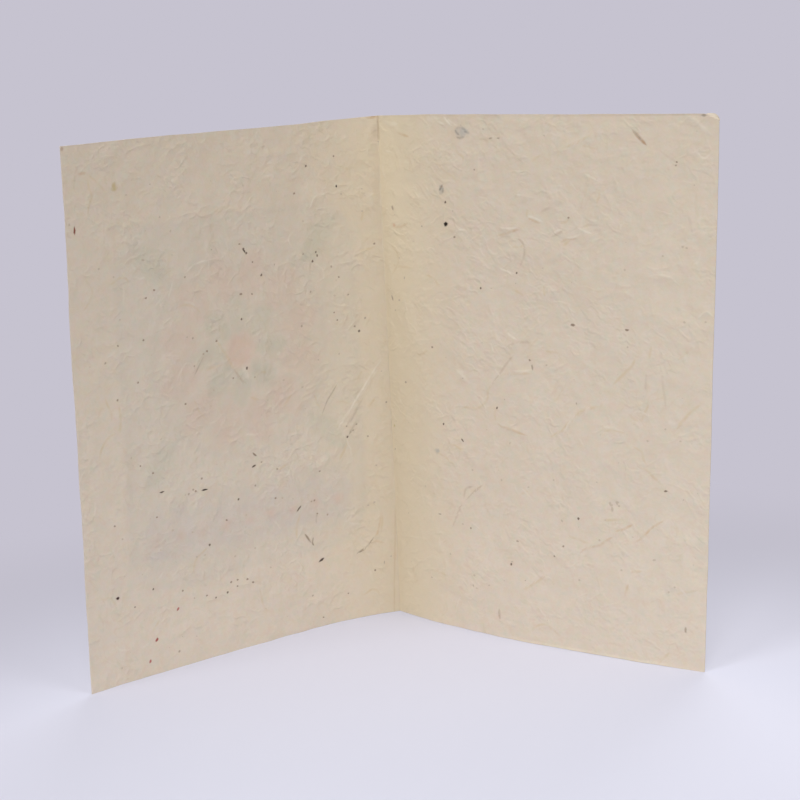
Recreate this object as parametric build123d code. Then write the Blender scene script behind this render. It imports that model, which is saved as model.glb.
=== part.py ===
from build123d import *
import os
from math import cos, radians, sin

# A greeting card: one sheet of thick handmade paper, folded once and standing open on its lower edges.
# Millimetres, +Z up. The origin is the foot of the fold, in the middle of the paper's thickness.
# The leaves run forward from the fold, towards -Y, and their insides face -Y.
# The front cover is the leaf on the -X side, and the back leaf is the one on the +X side.

# The sheet
leaf_width = 127.0  # along the paper, from the middle of the fold to the free edge
leaf_height = 178.0
sheet_thickness = 0.35

# The fold is a small arc between the two leaves
fold_inner_radius = 0.5

# A leaf bends most next to the fold, and runs on from there in one wide arc.
# Its lean, at the foot of the card, is the angle between the paper and the X axis, in degrees:
# at the fold, in the middle where the near bend ends, and at the free edge.
near_bend_length = 32.0
front_fold_angle = 15.0
front_middle_angle = 37.0
front_edge_angle = 43.0
back_fold_angle = 53.0
back_middle_angle = 41.5
back_edge_angle = 32.0

# Each leaf is a little twisted: its top edge leans more than its foot by this angle
front_twist_angle = 3.3
back_twist_angle = -7.4

# The back leaf's top corner is blunted by wear
blunt_along_top = 4.6
blunt_down_edge = 2.2
blunt_cut_margin = 5.0  # how far the cut reaches past the paper on every side

# A run that bends by less than this angle is drawn straight
straight_run_angle = 0.01


class Leaf:
    """One leaf of the card, on the side of the fold that side gives: -1 for -X, +1 for +X."""

    def __init__(self, side, lean_at_fold, lean_past_bend, lean_at_edge, top_twist):
        self.side = side
        self.leans = (lean_at_fold, lean_past_bend, lean_at_edge)
        self.top_twist = top_twist

    def leans_at(self, top):
        """The three leans at the foot, or at the top edge with its twist added."""
        twist = self.top_twist if top else 0
        return [lean + twist for lean in self.leans]

    def runs(self, top, fold_lean):
        """The leaf's runs from the middle of the fold outwards: length, lean at its start, lean at its end."""
        at_fold, past_bend, at_edge = self.leans_at(top)
        half_fold_turn = at_fold - fold_lean
        fold_middle_radius = fold_inner_radius + sheet_thickness / 2
        half_fold_length = fold_middle_radius * radians(half_fold_turn)
        wide_arc_length = leaf_width - half_fold_length - near_bend_length
        return [
            (half_fold_length, fold_lean, at_fold),
            (near_bend_length, at_fold, past_bend),
            (wide_arc_length, past_bend, at_edge),
        ]

    def along(self, lean):
        """The direction in which the paper runs away from the fold at a lean."""
        return Vector(self.side * cos(radians(lean)), -sin(radians(lean)))

    def inwards(self, lean):
        """The direction from the paper's middle to its inside face at a lean."""
        return Vector(-self.side * sin(radians(lean)), -cos(radians(lean)))

    def run_edge(self, start, length, lean, end_lean, depth):
        """One run of a face that lies depth inside the sheet's middle; start is on the middle."""
        bend = end_lean - lean
        face_start = start + self.inwards(lean) * depth
        if abs(bend) < straight_run_angle:
            return Line(face_start, face_start + self.along(lean) * length)
        radius = length / radians(bend) - depth
        return JernArc(face_start, self.along(lean), abs(radius), -self.side * bend)

    def face_edges(self, top, fold_lean, depth):
        """A face of the leaf as a chain of edges, from the middle of the fold to the free edge."""
        edges = []
        start = Vector(0, 0)
        for length, lean, end_lean in self.runs(top, fold_lean):
            edges.append(self.run_edge(start, length, lean, end_lean, depth))
            start = self.run_edge(start, length, lean, end_lean, 0) @ 1
        return edges

    def free_end(self, top, fold_lean):
        """The point on the sheet's middle where the leaf ends."""
        return self.face_edges(top, fold_lean, 0)[-1] @ 1


front_cover = Leaf(-1, front_fold_angle, front_middle_angle, front_edge_angle, front_twist_angle)
back_leaf = Leaf(1, back_fold_angle, back_middle_angle, back_edge_angle, back_twist_angle)


def lean_in_fold(leaf, other, top):
    """The lean half way round the fold, which is where the two leaves meet."""
    return (leaf.leans_at(top)[0] - other.leans_at(top)[0]) / 2


def section(top):
    """The sheet's outline seen from above, at the foot or at the top edge."""
    half = sheet_thickness / 2
    edges = []
    for leaf, other in ((front_cover, back_leaf), (back_leaf, front_cover)):
        fold_lean = lean_in_fold(leaf, other, top)
        inside = leaf.face_edges(top, fold_lean, half)
        outside = leaf.face_edges(top, fold_lean, -half)
        free_edge = Line(inside[-1] @ 1, outside[-1] @ 1)
        edges += inside + [free_edge] + outside
    outline = Face(Wire(edges))
    return Pos(0, 0, leaf_height) * outline if top else outline


def corner_wedge():
    """What wear has taken off the back leaf's top corner."""
    corner = back_leaf.free_end(True, lean_in_fold(back_leaf, front_cover, True))
    edge_lean = back_leaf.leans_at(True)[-1]
    across = Plane(
        origin=(corner.X, corner.Y, leaf_height),
        x_dir=back_leaf.along(edge_lean),
        z_dir=back_leaf.inwards(edge_lean),
    )
    slope = blunt_down_edge / blunt_along_top
    margin = blunt_cut_margin
    # In this plane the corner is (0, 0), the fold lies towards -x and the foot towards -y
    outline = Polyline(
        (margin, -blunt_down_edge - slope * margin),
        (-blunt_along_top - margin, slope * margin),
        (margin, slope * margin),
        close=True,
    )
    return extrude(across * make_face(outline), amount=margin, both=True)


folded_sheet = loft([section(top=False), section(top=True)], ruled=True) - corner_wedge()

os.makedirs("parts", exist_ok=True)
export_step(folded_sheet, "parts/folded_sheet.step")
print("volume", round(folded_sheet.volume), "mm3, size", folded_sheet.bounding_box().size)
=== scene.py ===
"""The looks of a greeting card of handmade paper, which stands open on its lower edges.

Sizes are in millimetres unless a name says metres, and meshes are turned into metres as they are made.
A place on the paper is two lengths. "Across" runs along the paper from the middle of the fold, and is
negative on the front cover and positive on the back leaf. "Up" is the height above the foot.
"""

from __future__ import annotations

import logging
import math
from dataclasses import dataclass, field
from enum import Enum, IntEnum
from typing import Union

import bpy
import numpy as np
from mathutils import Matrix, Vector


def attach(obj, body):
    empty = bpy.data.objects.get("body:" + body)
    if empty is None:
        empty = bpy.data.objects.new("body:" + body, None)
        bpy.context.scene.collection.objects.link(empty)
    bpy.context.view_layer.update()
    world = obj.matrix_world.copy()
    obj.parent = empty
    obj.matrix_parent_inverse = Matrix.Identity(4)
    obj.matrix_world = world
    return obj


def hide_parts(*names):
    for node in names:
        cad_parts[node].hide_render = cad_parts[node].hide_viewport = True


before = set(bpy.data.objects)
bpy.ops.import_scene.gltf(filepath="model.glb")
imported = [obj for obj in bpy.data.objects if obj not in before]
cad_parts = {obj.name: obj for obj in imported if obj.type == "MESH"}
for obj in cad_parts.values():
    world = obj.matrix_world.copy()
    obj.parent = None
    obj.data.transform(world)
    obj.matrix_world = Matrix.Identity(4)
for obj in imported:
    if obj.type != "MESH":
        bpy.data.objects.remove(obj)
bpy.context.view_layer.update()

METRES = 0.001  # one millimetre
CAD_SHEET = "folded_sheet"
BODY = "root"
BAKE_MAP = "OFBake"
PLACE_ATTRIBUTE = "place_on_paper"
TINT_ATTRIBUTE = "tint"
SHEEN = 0.3  # the specular level of every piece of the card

Array = np.ndarray
Colour = tuple[float, float, float]
Pixel = tuple[float, float]
Path = tuple[Pixel, ...]
Point = tuple[float, float, float]
Values = Union[np.ndarray, "Signal"]  # numbers, or what a material's nodes give

log = logging.getLogger("card")


class Face(Enum):
    """The two faces of the paper, by the side of its middle that they lie on."""

    INSIDE = 1
    OUTSIDE = -1

    def facing(self, faces: Array, flat: Array) -> tuple[Array, Array]:
        """Turns the faces of a body that is made for the inside the right way out for this face."""
        return (faces, flat) if self is Face.INSIDE else (faces[:, ::-1], flat[:, ::-1])


class Seed(IntEnum):
    """Where each seeded draw starts from."""

    BROAD_WAVES = 1
    COCKLES = 2
    TOP_EDGE = 11
    FOOT = 12
    FREE_EDGES = 13
    CRINKLES = 21
    FOLD = 31
    PULP = 40
    RIDGES = 50
    RIDGE_STRENGTHS = 60
    PALE_STRANDS = 61
    OCHRE_STRANDS = 73
    FLECKS = 91


def stacked(*parts: Array | float) -> Array:
    """Puts values that belong together side by side, along a new last axis."""
    return np.stack(np.broadcast_arrays(*parts), axis=-1)


def unit(vectors: Array) -> Array:
    """The same directions, each with a length of 1."""
    return vectors / np.linalg.norm(vectors, axis=-1, keepdims=True)


def turned(across: Values, up: Values, heading: float) -> tuple[Values, Values]:
    """Measures places along a heading and beside it.

    Args:
        across: How far along the paper they are.
        up: Their heights.
        heading: The heading, in degrees from level.

    Returns:
        How far each place is along the heading, and how far to its left.
    """
    cos, sin = math.cos(math.radians(heading)), math.sin(math.radians(heading))
    return across * cos + up * sin, up * cos - across * sin


def walked(start: Array, headings: Array, step: float) -> Array:
    """Walks over the paper in even steps.

    Args:
        start: Where the walk starts.
        headings: The heading of each step, in radians.
        step: How long each step is.

    Returns:
        The start and the end of each step, one place to a row.
    """
    steps = stacked(np.cos(headings), np.sin(headings)) * step
    return start + np.concatenate([np.zeros((1, 2)), np.cumsum(steps, axis=0)])


def shown(name: str, data: bpy.types.ID) -> bpy.types.Object:
    """Makes an object of a mesh, a lamp or a camera, and puts it in the scene."""
    made = bpy.data.objects.new(name, data)
    bpy.context.scene.collection.objects.link(made)
    return made


@dataclass(frozen=True)
class LeafBend:
    """How a leaf leans and bends, as angles in degrees between the paper and the X axis at its foot."""

    side: int
    at_fold: float
    past_bend: float
    at_edge: float
    twist: float  # what the top edge leans more than the foot

    def leans(self, top: bool) -> tuple[float, float, float]:
        """The three leans at the foot, or at the top edge."""
        more = self.twist if top else 0.0
        return self.at_fold + more, self.past_bend + more, self.at_edge + more


@dataclass(frozen=True)
class SheetForm:
    """The smooth middle of the folded sheet, the same as in the CAD part."""

    leaf_width: float = 127.0
    leaf_height: float = 178.0
    thickness: float = 0.35
    fold_inner_radius: float = 0.5
    near_bend_length: float = 32.0
    front: LeafBend = LeafBend(-1, 15.0, 37.0, 43.0, 3.3)
    back: LeafBend = LeafBend(1, 53.0, 41.5, 32.0, -7.4)

    def runs(self, leaf: LeafBend, other: LeafBend, top: bool) -> list[tuple[float, float, float]]:
        """Lists a leaf's runs from the middle of the fold outwards.

        Args:
            leaf: The leaf.
            other: The leaf on the other side of the fold.
            top: Whether the runs are those at the top edge.

        Returns:
            Each run's length, and its lean at its start and at its end, in degrees.
        """
        at_fold, past_bend, at_edge = leaf.leans(top)
        in_fold = (at_fold - other.leans(top)[0]) / 2
        half_fold = (self.fold_inner_radius + self.thickness / 2) * math.radians(at_fold - in_fold)
        wide_arc = self.leaf_width - half_fold - self.near_bend_length
        return [
            (half_fold, in_fold, at_fold),
            (self.near_bend_length, at_fold, past_bend),
            (wide_arc, past_bend, at_edge),
        ]

    def line(self, across: Array, top: bool) -> Array:
        """Walks along the sheet at its foot or its top edge.

        Args:
            across: How far to walk from the fold.
            top: Whether to walk along the top edge.

        Returns:
            The X and Y that each walk comes to.
        """
        reached = np.zeros(across.shape + (2,))
        for leaf, other in ((self.front, self.back), (self.back, self.front)):
            here = (across * leaf.side) > 0
            to_go = np.abs(across[here])
            at = np.zeros(to_go.shape + (2,))
            runs = self.runs(leaf, other, top)
            for run in runs:
                length, lean, end_lean = run
                gone = to_go if run is runs[-1] else np.clip(to_go, 0, length)
                to_go = to_go - gone
                turn = math.radians(end_lean - lean) / length
                start = math.radians(lean)
                end = start + turn * gone
                at[..., 0] += leaf.side * (np.sin(end) - math.sin(start)) / turn
                at[..., 1] += (np.cos(end) - math.cos(start)) / turn
            reached[here] = at
        return reached

    def points(self, across: Array, up: Array) -> Array:
        """The points of the sheet's middle at some places, in millimetres."""
        share = (up / self.leaf_height)[..., None]
        flat = self.line(across, False) * (1 - share) + self.line(across, True) * share
        return np.concatenate([flat, up[..., None]], axis=-1)

    def inwards(self, across: Array, up: Array) -> Array:
        """Finds the level directions from the sheet's middle to its inside.

        Args:
            across: The places' distances along the paper from the fold.
            up: Their heights.

        Returns:
            A unit vector with no Z for each place.
        """
        step = 0.05
        ahead = self.points(across + step, up) - self.points(across - step, up)
        return unit(stacked(ahead[..., 1], -ahead[..., 0], 0.0))


@dataclass(frozen=True)
class PhotoView:
    """The photograph's camera, which was fitted to the card's outline."""

    image_size: float = 800.0
    focal_pixels: float = 2072.0
    position: Point = (3.3, -717.9, 224.0)
    pitch: float = 11.51  # degrees that it looks down
    roll: float = -2.62
    sensor_width: float = 36.0
    fold_pixel: float = 390.0  # about where the fold and the foot are, to begin a search from
    foot_pixel: float = 620.0
    pixels_per_mm_across: float = 2.55
    pixels_per_mm_up: float = 2.85
    search_rounds: int = 15
    nearest_seen: float = 0.01  # metres, as is the next one
    farthest_seen: float = 100.0

    def axes(self) -> Array:
        """Turns the camera as it was fitted.

        Returns:
            Its right, up and forward directions, one to a row.
        """
        down, turn = math.radians(self.pitch), math.radians(self.roll)
        forward = np.array([0.0, math.cos(down), -math.sin(down)])
        above = np.array([0.0, math.sin(down), math.cos(down)])
        right = np.array([1.0, 0.0, 0.0])
        return np.stack([
            math.cos(turn) * right + math.sin(turn) * above,
            math.cos(turn) * above - math.sin(turn) * right,
            forward,
        ])

    def pixels_of(self, points: Array) -> Array:
        """The pixels of the photograph at which some points are seen."""
        seen = (points - np.array(self.position)) @ self.axes().T
        offset = self.focal_pixels * seen[..., :2] / seen[..., 2:]
        return self.image_size / 2 + offset * np.array([1.0, -1.0])

    def places_of(self, form: SheetForm, pixels: Path) -> Array:
        """Finds the places on the paper that are seen at some pixels, by Newton's method.

        Args:
            form: The sheet.
            pixels: The pixels.

        Returns:
            Each place's across and up, one place to a row.
        """
        pixels = np.array(pixels, float)
        across = (pixels[:, 0] - self.fold_pixel) / self.pixels_per_mm_across
        up = (self.foot_pixel - pixels[:, 1]) / self.pixels_per_mm_up
        step = 0.1
        for _ in range(self.search_rounds):
            here = self.pixels_of(form.points(across, up))
            by_across = (self.pixels_of(form.points(across + step, up)) - here) / step
            by_up = (self.pixels_of(form.points(across, up + step)) - here) / step
            miss = pixels - here
            area = by_across[:, 0] * by_up[:, 1] - by_across[:, 1] * by_up[:, 0]
            across = across + (miss[:, 0] * by_up[:, 1] - miss[:, 1] * by_up[:, 0]) / area
            up = up + (by_across[:, 0] * miss[:, 1] - by_across[:, 1] * miss[:, 0]) / area
        return stacked(across, up)

    def place(self) -> None:
        """Makes the scene's camera."""
        data = bpy.data.cameras.new("photo_camera")
        data.sensor_width = self.sensor_width
        data.lens = self.focal_pixels / self.image_size * self.sensor_width
        data.clip_start = self.nearest_seen
        data.clip_end = self.farthest_seen
        camera = shown("photo_camera", data)
        right, above, forward = (Vector(axis) for axis in self.axes())
        turn = Matrix((right, above, -forward)).transposed().to_4x4()
        camera.matrix_world = Matrix.Translation(Vector(self.position) * METRES) @ turn
        bpy.context.scene.camera = camera


@dataclass(frozen=True)
class Waves:
    """Smooth seeded unevenness over the paper, as a sum of plane waves about one length long."""

    wavelength: float
    seed: int
    height: float = 1.0
    count: int = 28
    spread: float = 0.45
    usual_sum: float = 1.4  # about what they come to before that

    def at(self, across: Array, up: Array) -> Array:
        """Adds up the waves.

        Args:
            across: Places along the paper.
            up: Their heights.

        Returns:
            The unevenness at each place, mostly within its height.
        """
        draw = np.random.default_rng(self.seed)
        total = np.zeros(np.broadcast(across, up).shape)
        for _ in range(self.count):
            length = self.wavelength * (1 + self.spread * draw.uniform(-1, 1))
            heading, phase = draw.uniform(0, 2 * math.pi, 2)
            along = across * math.cos(heading) + up * math.sin(heading)
            total += np.cos(2 * math.pi * along / length + phase)
        return total * self.height / math.sqrt(self.count) / self.usual_sum


@dataclass(frozen=True)
class HandCutEdges:
    """The cut edges, which a hand led a little off straight, and the corner that wear has blunted."""

    form: SheetForm
    top_places: tuple[float, ...] = (-127.0, -92.0, -60.0, -32.0, -8.0, 22.0, 55.0, 90.0, 127.0)
    top_rises: tuple[float, ...] = (0.1, 0.0, -0.5, -0.85, -0.3, 0.5, 0.5, 0.25, 0.1)
    top_roundings: tuple[float, ...] = (0.0, -7.0, 7.0)  # the rises are averaged over these shifts
    foot_places: tuple[float, ...] = (-127.0, -60.0, -20.0, 0.0, 22.0, 50.0, 80.0, 110.0, 127.0)
    foot_rises: tuple[float, ...] = (0.0, 0.0, 0.08, 0.28, 0.18, 0.1, 0.14, 0.05, 0.0)
    lip_places: tuple[float, ...] = (-127.0, 40.0, 62.0, 112.0, 122.0)
    lip_bends: tuple[float, ...] = (0.0, 0.0, 0.34, 0.34, 0.1)
    lip_height: float = 0.6
    top_ripple: Waves = Waves(23.0, Seed.TOP_EDGE, 0.07, 6)
    foot_ripple: Waves = Waves(23.0, Seed.FOOT, 0.07, 6)
    side_ripple: Waves = Waves(36.8, Seed.FREE_EDGES, 0.07, 6)
    blunt_along_top: float = 4.6
    blunt_down_edge: float = 2.2
    side_reach: float = 12.0  # how far in from a free edge its ripple moves the paper
    side_place: float = 300.0  # where each side's ripple is taken from, so that the two differ

    def top(self, across: Array) -> Array:
        """Finds the height of the top edge.

        Args:
            across: Places along the paper.

        Returns:
            The edge's height at each place.
        """
        places, rises = self.top_places, self.top_rises
        rise = sum(np.interp(across + shift, places, rises) for shift in self.top_roundings)
        ripple = self.top_ripple.at(across, np.zeros_like(across))
        edge = self.form.leaf_height + rise / len(self.top_roundings) + ripple
        past = across - (self.form.leaf_width - self.blunt_along_top)
        return edge - np.clip(past, 0, None) * self.blunt_down_edge / self.blunt_along_top

    def foot(self, across: Array) -> Array:
        """The height of the lower edge, which lifts off the table by a hair here and there."""
        lift = np.clip(self.foot_ripple.at(across, np.zeros_like(across)), 0, None)
        return lift + np.interp(across, self.foot_places, self.foot_rises)

    def lip(self, across: Array, up: Array) -> Array:
        """How far the lowest edge of the back leaf turns in, where it has worn against the table."""
        bend = np.interp(across, self.lip_places, self.lip_bends)
        return bend * np.clip(1 - (up - self.foot(across)) / self.lip_height, 0, 1)

    def side_shift(self, across: Array, up: Array) -> Array:
        """How far the paper near a free edge lies off its even place, along the paper."""
        share = np.clip(1 - (self.form.leaf_width - np.abs(across)) / self.side_reach, 0, 1)
        return share * self.side_ripple.at(np.sign(across) * self.side_place, up)


@dataclass(frozen=True)
class Crease:
    """A small ridge or groove in the paper along a few places."""

    places: Array
    height: float
    half_width: float
    end_fade: float = 0.6  # a power: the less it is, the shorter the ends
    sharpness: float = 1.3
    last_share: float = 0.02  # its ends are as high as it is this share of its length in from them

    def press(self, across: Array, up: Array, relief: Array) -> None:
        """Adds the crease to a relief.

        Args:
            across: The relief's places along the paper.
            up: Their heights.
            relief: What the crease is added to.
        """
        low, high = self.places.min(0) - self.half_width, self.places.max(0) + self.half_width
        near = (across > low[0]) & (across < high[0]) & (up > low[1]) & (up < high[1])
        if not near.any():
            return
        spot = stacked(across[near], up[near])
        steps = np.linalg.norm(np.diff(self.places, axis=0), axis=1)
        starts = np.concatenate([[0.0], np.cumsum(steps)])
        best = np.full(len(spot), np.inf)
        along = np.zeros(len(spot))
        for start, end, gone, step in zip(self.places[:-1], self.places[1:], starts, steps):
            line = (end - start) / step
            share = np.clip((spot - start) @ line, 0, step)
            gap = np.linalg.norm(spot - start - share[:, None] * line, axis=1)
            along = np.where(gap < best, (gone + share) / starts[-1], along)
            best = np.minimum(best, gap)
        fade = np.sin(math.pi * np.clip(along, self.last_share, 1 - self.last_share)) ** self.end_fade
        relief[near] += self.height * fade * np.clip(1 - best / self.half_width, 0, 1) ** self.sharpness


@dataclass(frozen=True)
class Wrinkles:
    """The relief of the whole sheet: cockles, crinkles, the fold's scored lines and the bent corner."""

    form: SheetForm
    view: PhotoView
    broad_waves: Waves = Waves(64.0, Seed.BROAD_WAVES, 0.26)
    cockles: Waves = Waves(17.0, Seed.COCKLES, 0.10)
    waves_start: float = 9.0  # how far from the fold these two are at their full height
    crumple_start: float = 3.0
    crumple_heights: tuple[float, ...] = (0.21, 0.11, 0.04)
    crumple_pitches: tuple[float, ...] = (19.0, 10.0, 5.4)
    crumple_heading: float = -35.0  # degrees, the way most of the small creases run
    crumple_stretch: float = 1.7
    crumple_sharpness: float = 2.4
    patch_length: float = 30.0  # about how far apart the well crumpled places are
    patch_strength: float = 0.6
    patch_limits: tuple[float, float] = (0.15, 1.3)
    seen_height: float = 0.26
    seen_half_width: float = 1.25
    crinkle_count: int = 230
    crinkle_low: Pixel = (-122.0, 4.0)  # the crinkles start between these two places
    crinkle_high: Pixel = (122.0, 174.0)
    crinkle_height: tuple[float, float] = (0.05, 0.17)
    crinkle_signs: tuple[float, ...] = (1.0, 1.0, -1.0)
    crinkle_half_width: tuple[float, float] = (1.4, 2.6)
    crinkle_length: tuple[float, float] = (4.0, 15.0)
    crinkle_bend: float = 0.9  # radians
    crinkle_shares: tuple[float, float, float] = (0.55, 0.8, 0.2)  # kept on the front, the back, more above
    upper_half: float = 80.0
    fold_groove_depth: float = 0.02
    fold_groove_half_width: float = 0.45
    fold_wander: Waves = Waves(38.0, Seed.FOLD, 0.16, 8)
    second_line_offset: float = -2.3  # at the foot, from where it runs into the fold
    second_line_top: float = 42.0
    second_line_share: float = 0.7  # its height, as a share of the groove's depth
    corner_crease: tuple[Pixel, Pixel] = ((688.0, 115.0), (714.0, 137.0))
    corner_bend: float = 0.06  # how far the corner stands in for each millimetre past its crease
    creases: tuple[Path, ...] = (
        ((528, 215), (544, 222)), ((552, 234), (562, 229)), ((577, 227), (584, 231), (593, 234)),
        ((568, 237), (576, 236), (582, 234)), ((500, 228), (513, 228), (521, 225)),
        ((442, 118), (451, 126)), ((561, 149), (578, 142), (593, 134)),
        ((584, 173), (593, 178), (600, 182)), ((515, 194), (535, 198)),
        ((644, 266), (654, 269), (670, 267)), ((646, 277), (658, 275), (670, 277), (682, 287)),
        ((697, 319), (706, 312), (715, 317)), ((505, 330), (511, 337), (518, 341)),
        ((503, 347), (515, 345), (525, 341)), ((487, 390), (500, 377), (515, 372), (535, 372)),
        ((455, 369), (469, 381)), ((543, 443), (564, 429), (578, 414), (595, 407), (607, 406)),
        ((496, 421), (503, 425), (518, 432), (532, 436)),
        ((579, 557), (582, 550), (600, 541), (617, 533), (627, 528)), ((520, 592), (530, 584), (548, 574)),
        ((646, 535), (658, 526), (670, 518)), ((452, 526), (459, 511), (464, 500), (474, 493), (484, 484)),
        ((387, 226), (396, 222), (407, 223)), ((183, 274), (195, 264), (219, 257)),
        ((307, 211), (314, 197), (328, 192)),
        ((384, 354), (377, 365), (365, 387), (355, 406), (347, 422), (336, 434)),
        ((363, 403), (356, 415), (349, 427), (343, 437), (338, 460)),
        ((379, 516), (377, 535), (370, 545), (362, 550), (353, 555)),
        ((221, 345), (226, 362), (234, 371), (243, 385)), ((244, 366), (246, 374), (250, 382)),
        ((210, 426), (219, 430), (231, 426)), ((687, 114), (700, 124), (713, 136)),
        ((405, 190), (412, 196), (424, 199)), ((470, 185), (486, 190), (499, 186)),
        ((612, 180), (622, 192), (638, 199)), ((655, 205), (668, 196), (686, 193)),
        ((540, 262), (556, 258), (566, 247)), ((596, 300), (612, 292), (630, 296)),
        ((420, 300), (431, 311), (436, 326)), ((455, 455), (470, 447), (480, 450)),
        ((590, 470), (606, 462), (618, 465)), ((640, 600), (655, 596), (672, 601)),
        ((240, 150), (262, 156), (282, 150)), ((120, 230), (135, 222), (156, 224)),
        ((262, 346), (276, 356), (292, 358)), ((205, 352), (196, 366), (186, 382)),
        ((312, 470), (330, 458), (344, 440)), ((140, 560), (160, 552), (184, 556)),
        ((250, 520), (270, 516), (292, 506)),
    )

    def random_creases(self) -> list[Crease]:
        """Scatters short crinkles over both leaves, more of them on the back one and above its middle.

        Returns:
            The crinkles.
        """
        draw = np.random.default_rng(Seed.CRINKLES)
        made = []
        while len(made) < self.crinkle_count:
            place = draw.uniform(self.crinkle_low, self.crinkle_high)
            front, back, more = self.crinkle_shares
            wanted = (front if place[0] < 0 else back) + (more if place[1] > self.upper_half else 0.0)
            length = draw.uniform(*self.crinkle_length)
            heading = draw.uniform(0, math.pi)
            bend = draw.uniform(-self.crinkle_bend, self.crinkle_bend)
            height = draw.uniform(*self.crinkle_height) * draw.choice(self.crinkle_signs)
            half_width = draw.uniform(*self.crinkle_half_width)
            if draw.uniform() > wanted:
                continue
            headings = heading + bend * np.array([-1.0, 0.0, 1.0])
            made.append(Crease(walked(place, headings, length / len(headings)), height, half_width))
        return made

    def seen_creases(self) -> list[Crease]:
        """The larger crinkles, where the photograph shows them."""
        made = []
        for pixels in self.creases:
            path = self.view.places_of(self.form, pixels)
            made.append(Crease(path, self.seen_height, self.seen_half_width))
        return made

    def marks(self, across: Array, up: Array) -> Array:
        """Bends the back leaf's top corner in, and presses the fold's line and a second one beside it.

        Args:
            across: Places along the paper.
            up: Their heights.

        Returns:
            How far each place moves in.
        """
        start, end = self.view.places_of(self.form, self.corner_crease)
        line = unit(end - start)
        past = (up - start[1]) * line[0] - (across - start[0]) * line[1]
        bent = self.corner_bend * np.clip(past, 0, None)
        off_fold = across - self.fold_wander.at(np.zeros_like(up), up)
        fade = np.clip(1 - up / self.second_line_top, 0, 1)
        groove, ridge = (
            self.fold_groove_depth * np.clip(1 - np.abs(gap) / self.fold_groove_half_width, 0, 1)
            for gap in (off_fold, off_fold - self.second_line_offset * fade)
        )
        return bent + (self.second_line_share * fade * ridge - groove)

    def crumple(self, across: Array, up: Array) -> Array:
        """Crumples the paper finely, in sharp ridges that come and go.

        Args:
            across: Places along the paper.
            up: Their heights.

        Returns:
            How far each place moves in.
        """
        along, beside = turned(across, up, self.crumple_heading)
        total = np.zeros_like(across)
        for number, (pitch, height) in enumerate(zip(self.crumple_pitches, self.crumple_heights)):
            waves = Waves(pitch, Seed.RIDGES + number).at(along / self.crumple_stretch, beside)
            ridges = 1 - np.clip(np.abs(waves) * self.crumple_sharpness, 0, 1)
            patchy = 1 + Waves(self.patch_length, Seed.RIDGE_STRENGTHS + number).at(across, up)
            strength = np.clip(self.patch_strength * patchy, *self.patch_limits)
            total += height * ridges * strength
        return total

    def relief(self, across: Array, up: Array) -> Array:
        """Adds up the whole relief.

        Args:
            across: Places along the paper.
            up: Their heights.

        Returns:
            How far each place moves in from the smooth sheet.
        """
        waves = self.broad_waves.at(across, up) + self.cockles.at(across, up)
        total = waves * np.clip(np.abs(across) / self.waves_start, 0, 1)
        total += self.crumple(across, up) * np.clip(np.abs(across) / self.crumple_start, 0, 1)
        for crease in self.random_creases() + self.seen_creases():
            crease.press(across, up, total)
        return total + self.marks(across, up)


class Signal:
    """A socket of a material's nodes, whose operators add Math nodes, or Vector Math nodes."""

    def __init__(self, kit: NodeKit, socket: bpy.types.NodeSocket) -> None:
        """Wraps one output socket."""
        self.kit = kit
        self.socket = socket

    def maths(self, operation: str, *given: Signal | float, swapped: bool = False) -> Signal:
        """Adds one Math or Vector Math node.

        Args:
            operation: The node's operation.
            given: What the operation takes besides this socket.
            swapped: Whether this socket comes second.

        Returns:
            The node's result.
        """
        kind = "ShaderNodeVectorMath" if self.socket.type == "VECTOR" else "ShaderNodeMath"
        inputs = [*given, self] if swapped else [self, *given]
        return self.kit.node(kind, {"operation": operation}, dict(enumerate(inputs)))

    def __add__(self, other: Signal | float) -> Signal:
        """This plus other."""
        return self.maths("ADD", other)

    __radd__ = __add__

    def __sub__(self, other: Signal | float) -> Signal:
        """This minus other."""
        return self.maths("SUBTRACT", other)

    def __rsub__(self, other: float) -> Signal:
        """The number other minus this."""
        return self.maths("SUBTRACT", other, swapped=True)

    def __mul__(self, other: Signal | float) -> Signal:
        """This times other."""
        return self.maths("MULTIPLY", other)

    __rmul__ = __mul__

    def __truediv__(self, other: Signal | float) -> Signal:
        """This divided by other."""
        return self.maths("DIVIDE", other)

    def __neg__(self) -> Signal:
        """This with its sign turned."""
        return self * -1.0

    def __abs__(self) -> Signal:
        """This without its sign."""
        return self.maths("ABSOLUTE")

    def most(self, other: Signal | float) -> Signal:
        """The larger of this and other."""
        return self.maths("MAXIMUM", other)

    def slant(self, other: Signal) -> Signal:
        """The length of the slant across this and other, which are at right angles."""
        return (self * self + other * other).maths("SQRT")

    def split(self) -> list[Signal]:
        """The three values of a vector."""
        apart = self.kit.node("ShaderNodeSeparateXYZ", inputs={0: self}).socket.node
        return [Signal(self.kit, output) for output in apart.outputs]

    def rises(self, low: float, high: float) -> Signal:
        """Goes smoothly from 0 to 1 while this goes from low to high.

        Args:
            low: Where it is still 0.
            high: Where it is 1. It may be less than low.

        Returns:
            The smooth step.
        """
        if low < high:
            settings = {"interpolation_type": "SMOOTHSTEP"}
            inputs = {"Value": self, "From Min": low, "From Max": high}
            return self.kit.node("ShaderNodeMapRange", settings, inputs)
        return 1.0 - self.rises(high, low)


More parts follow.
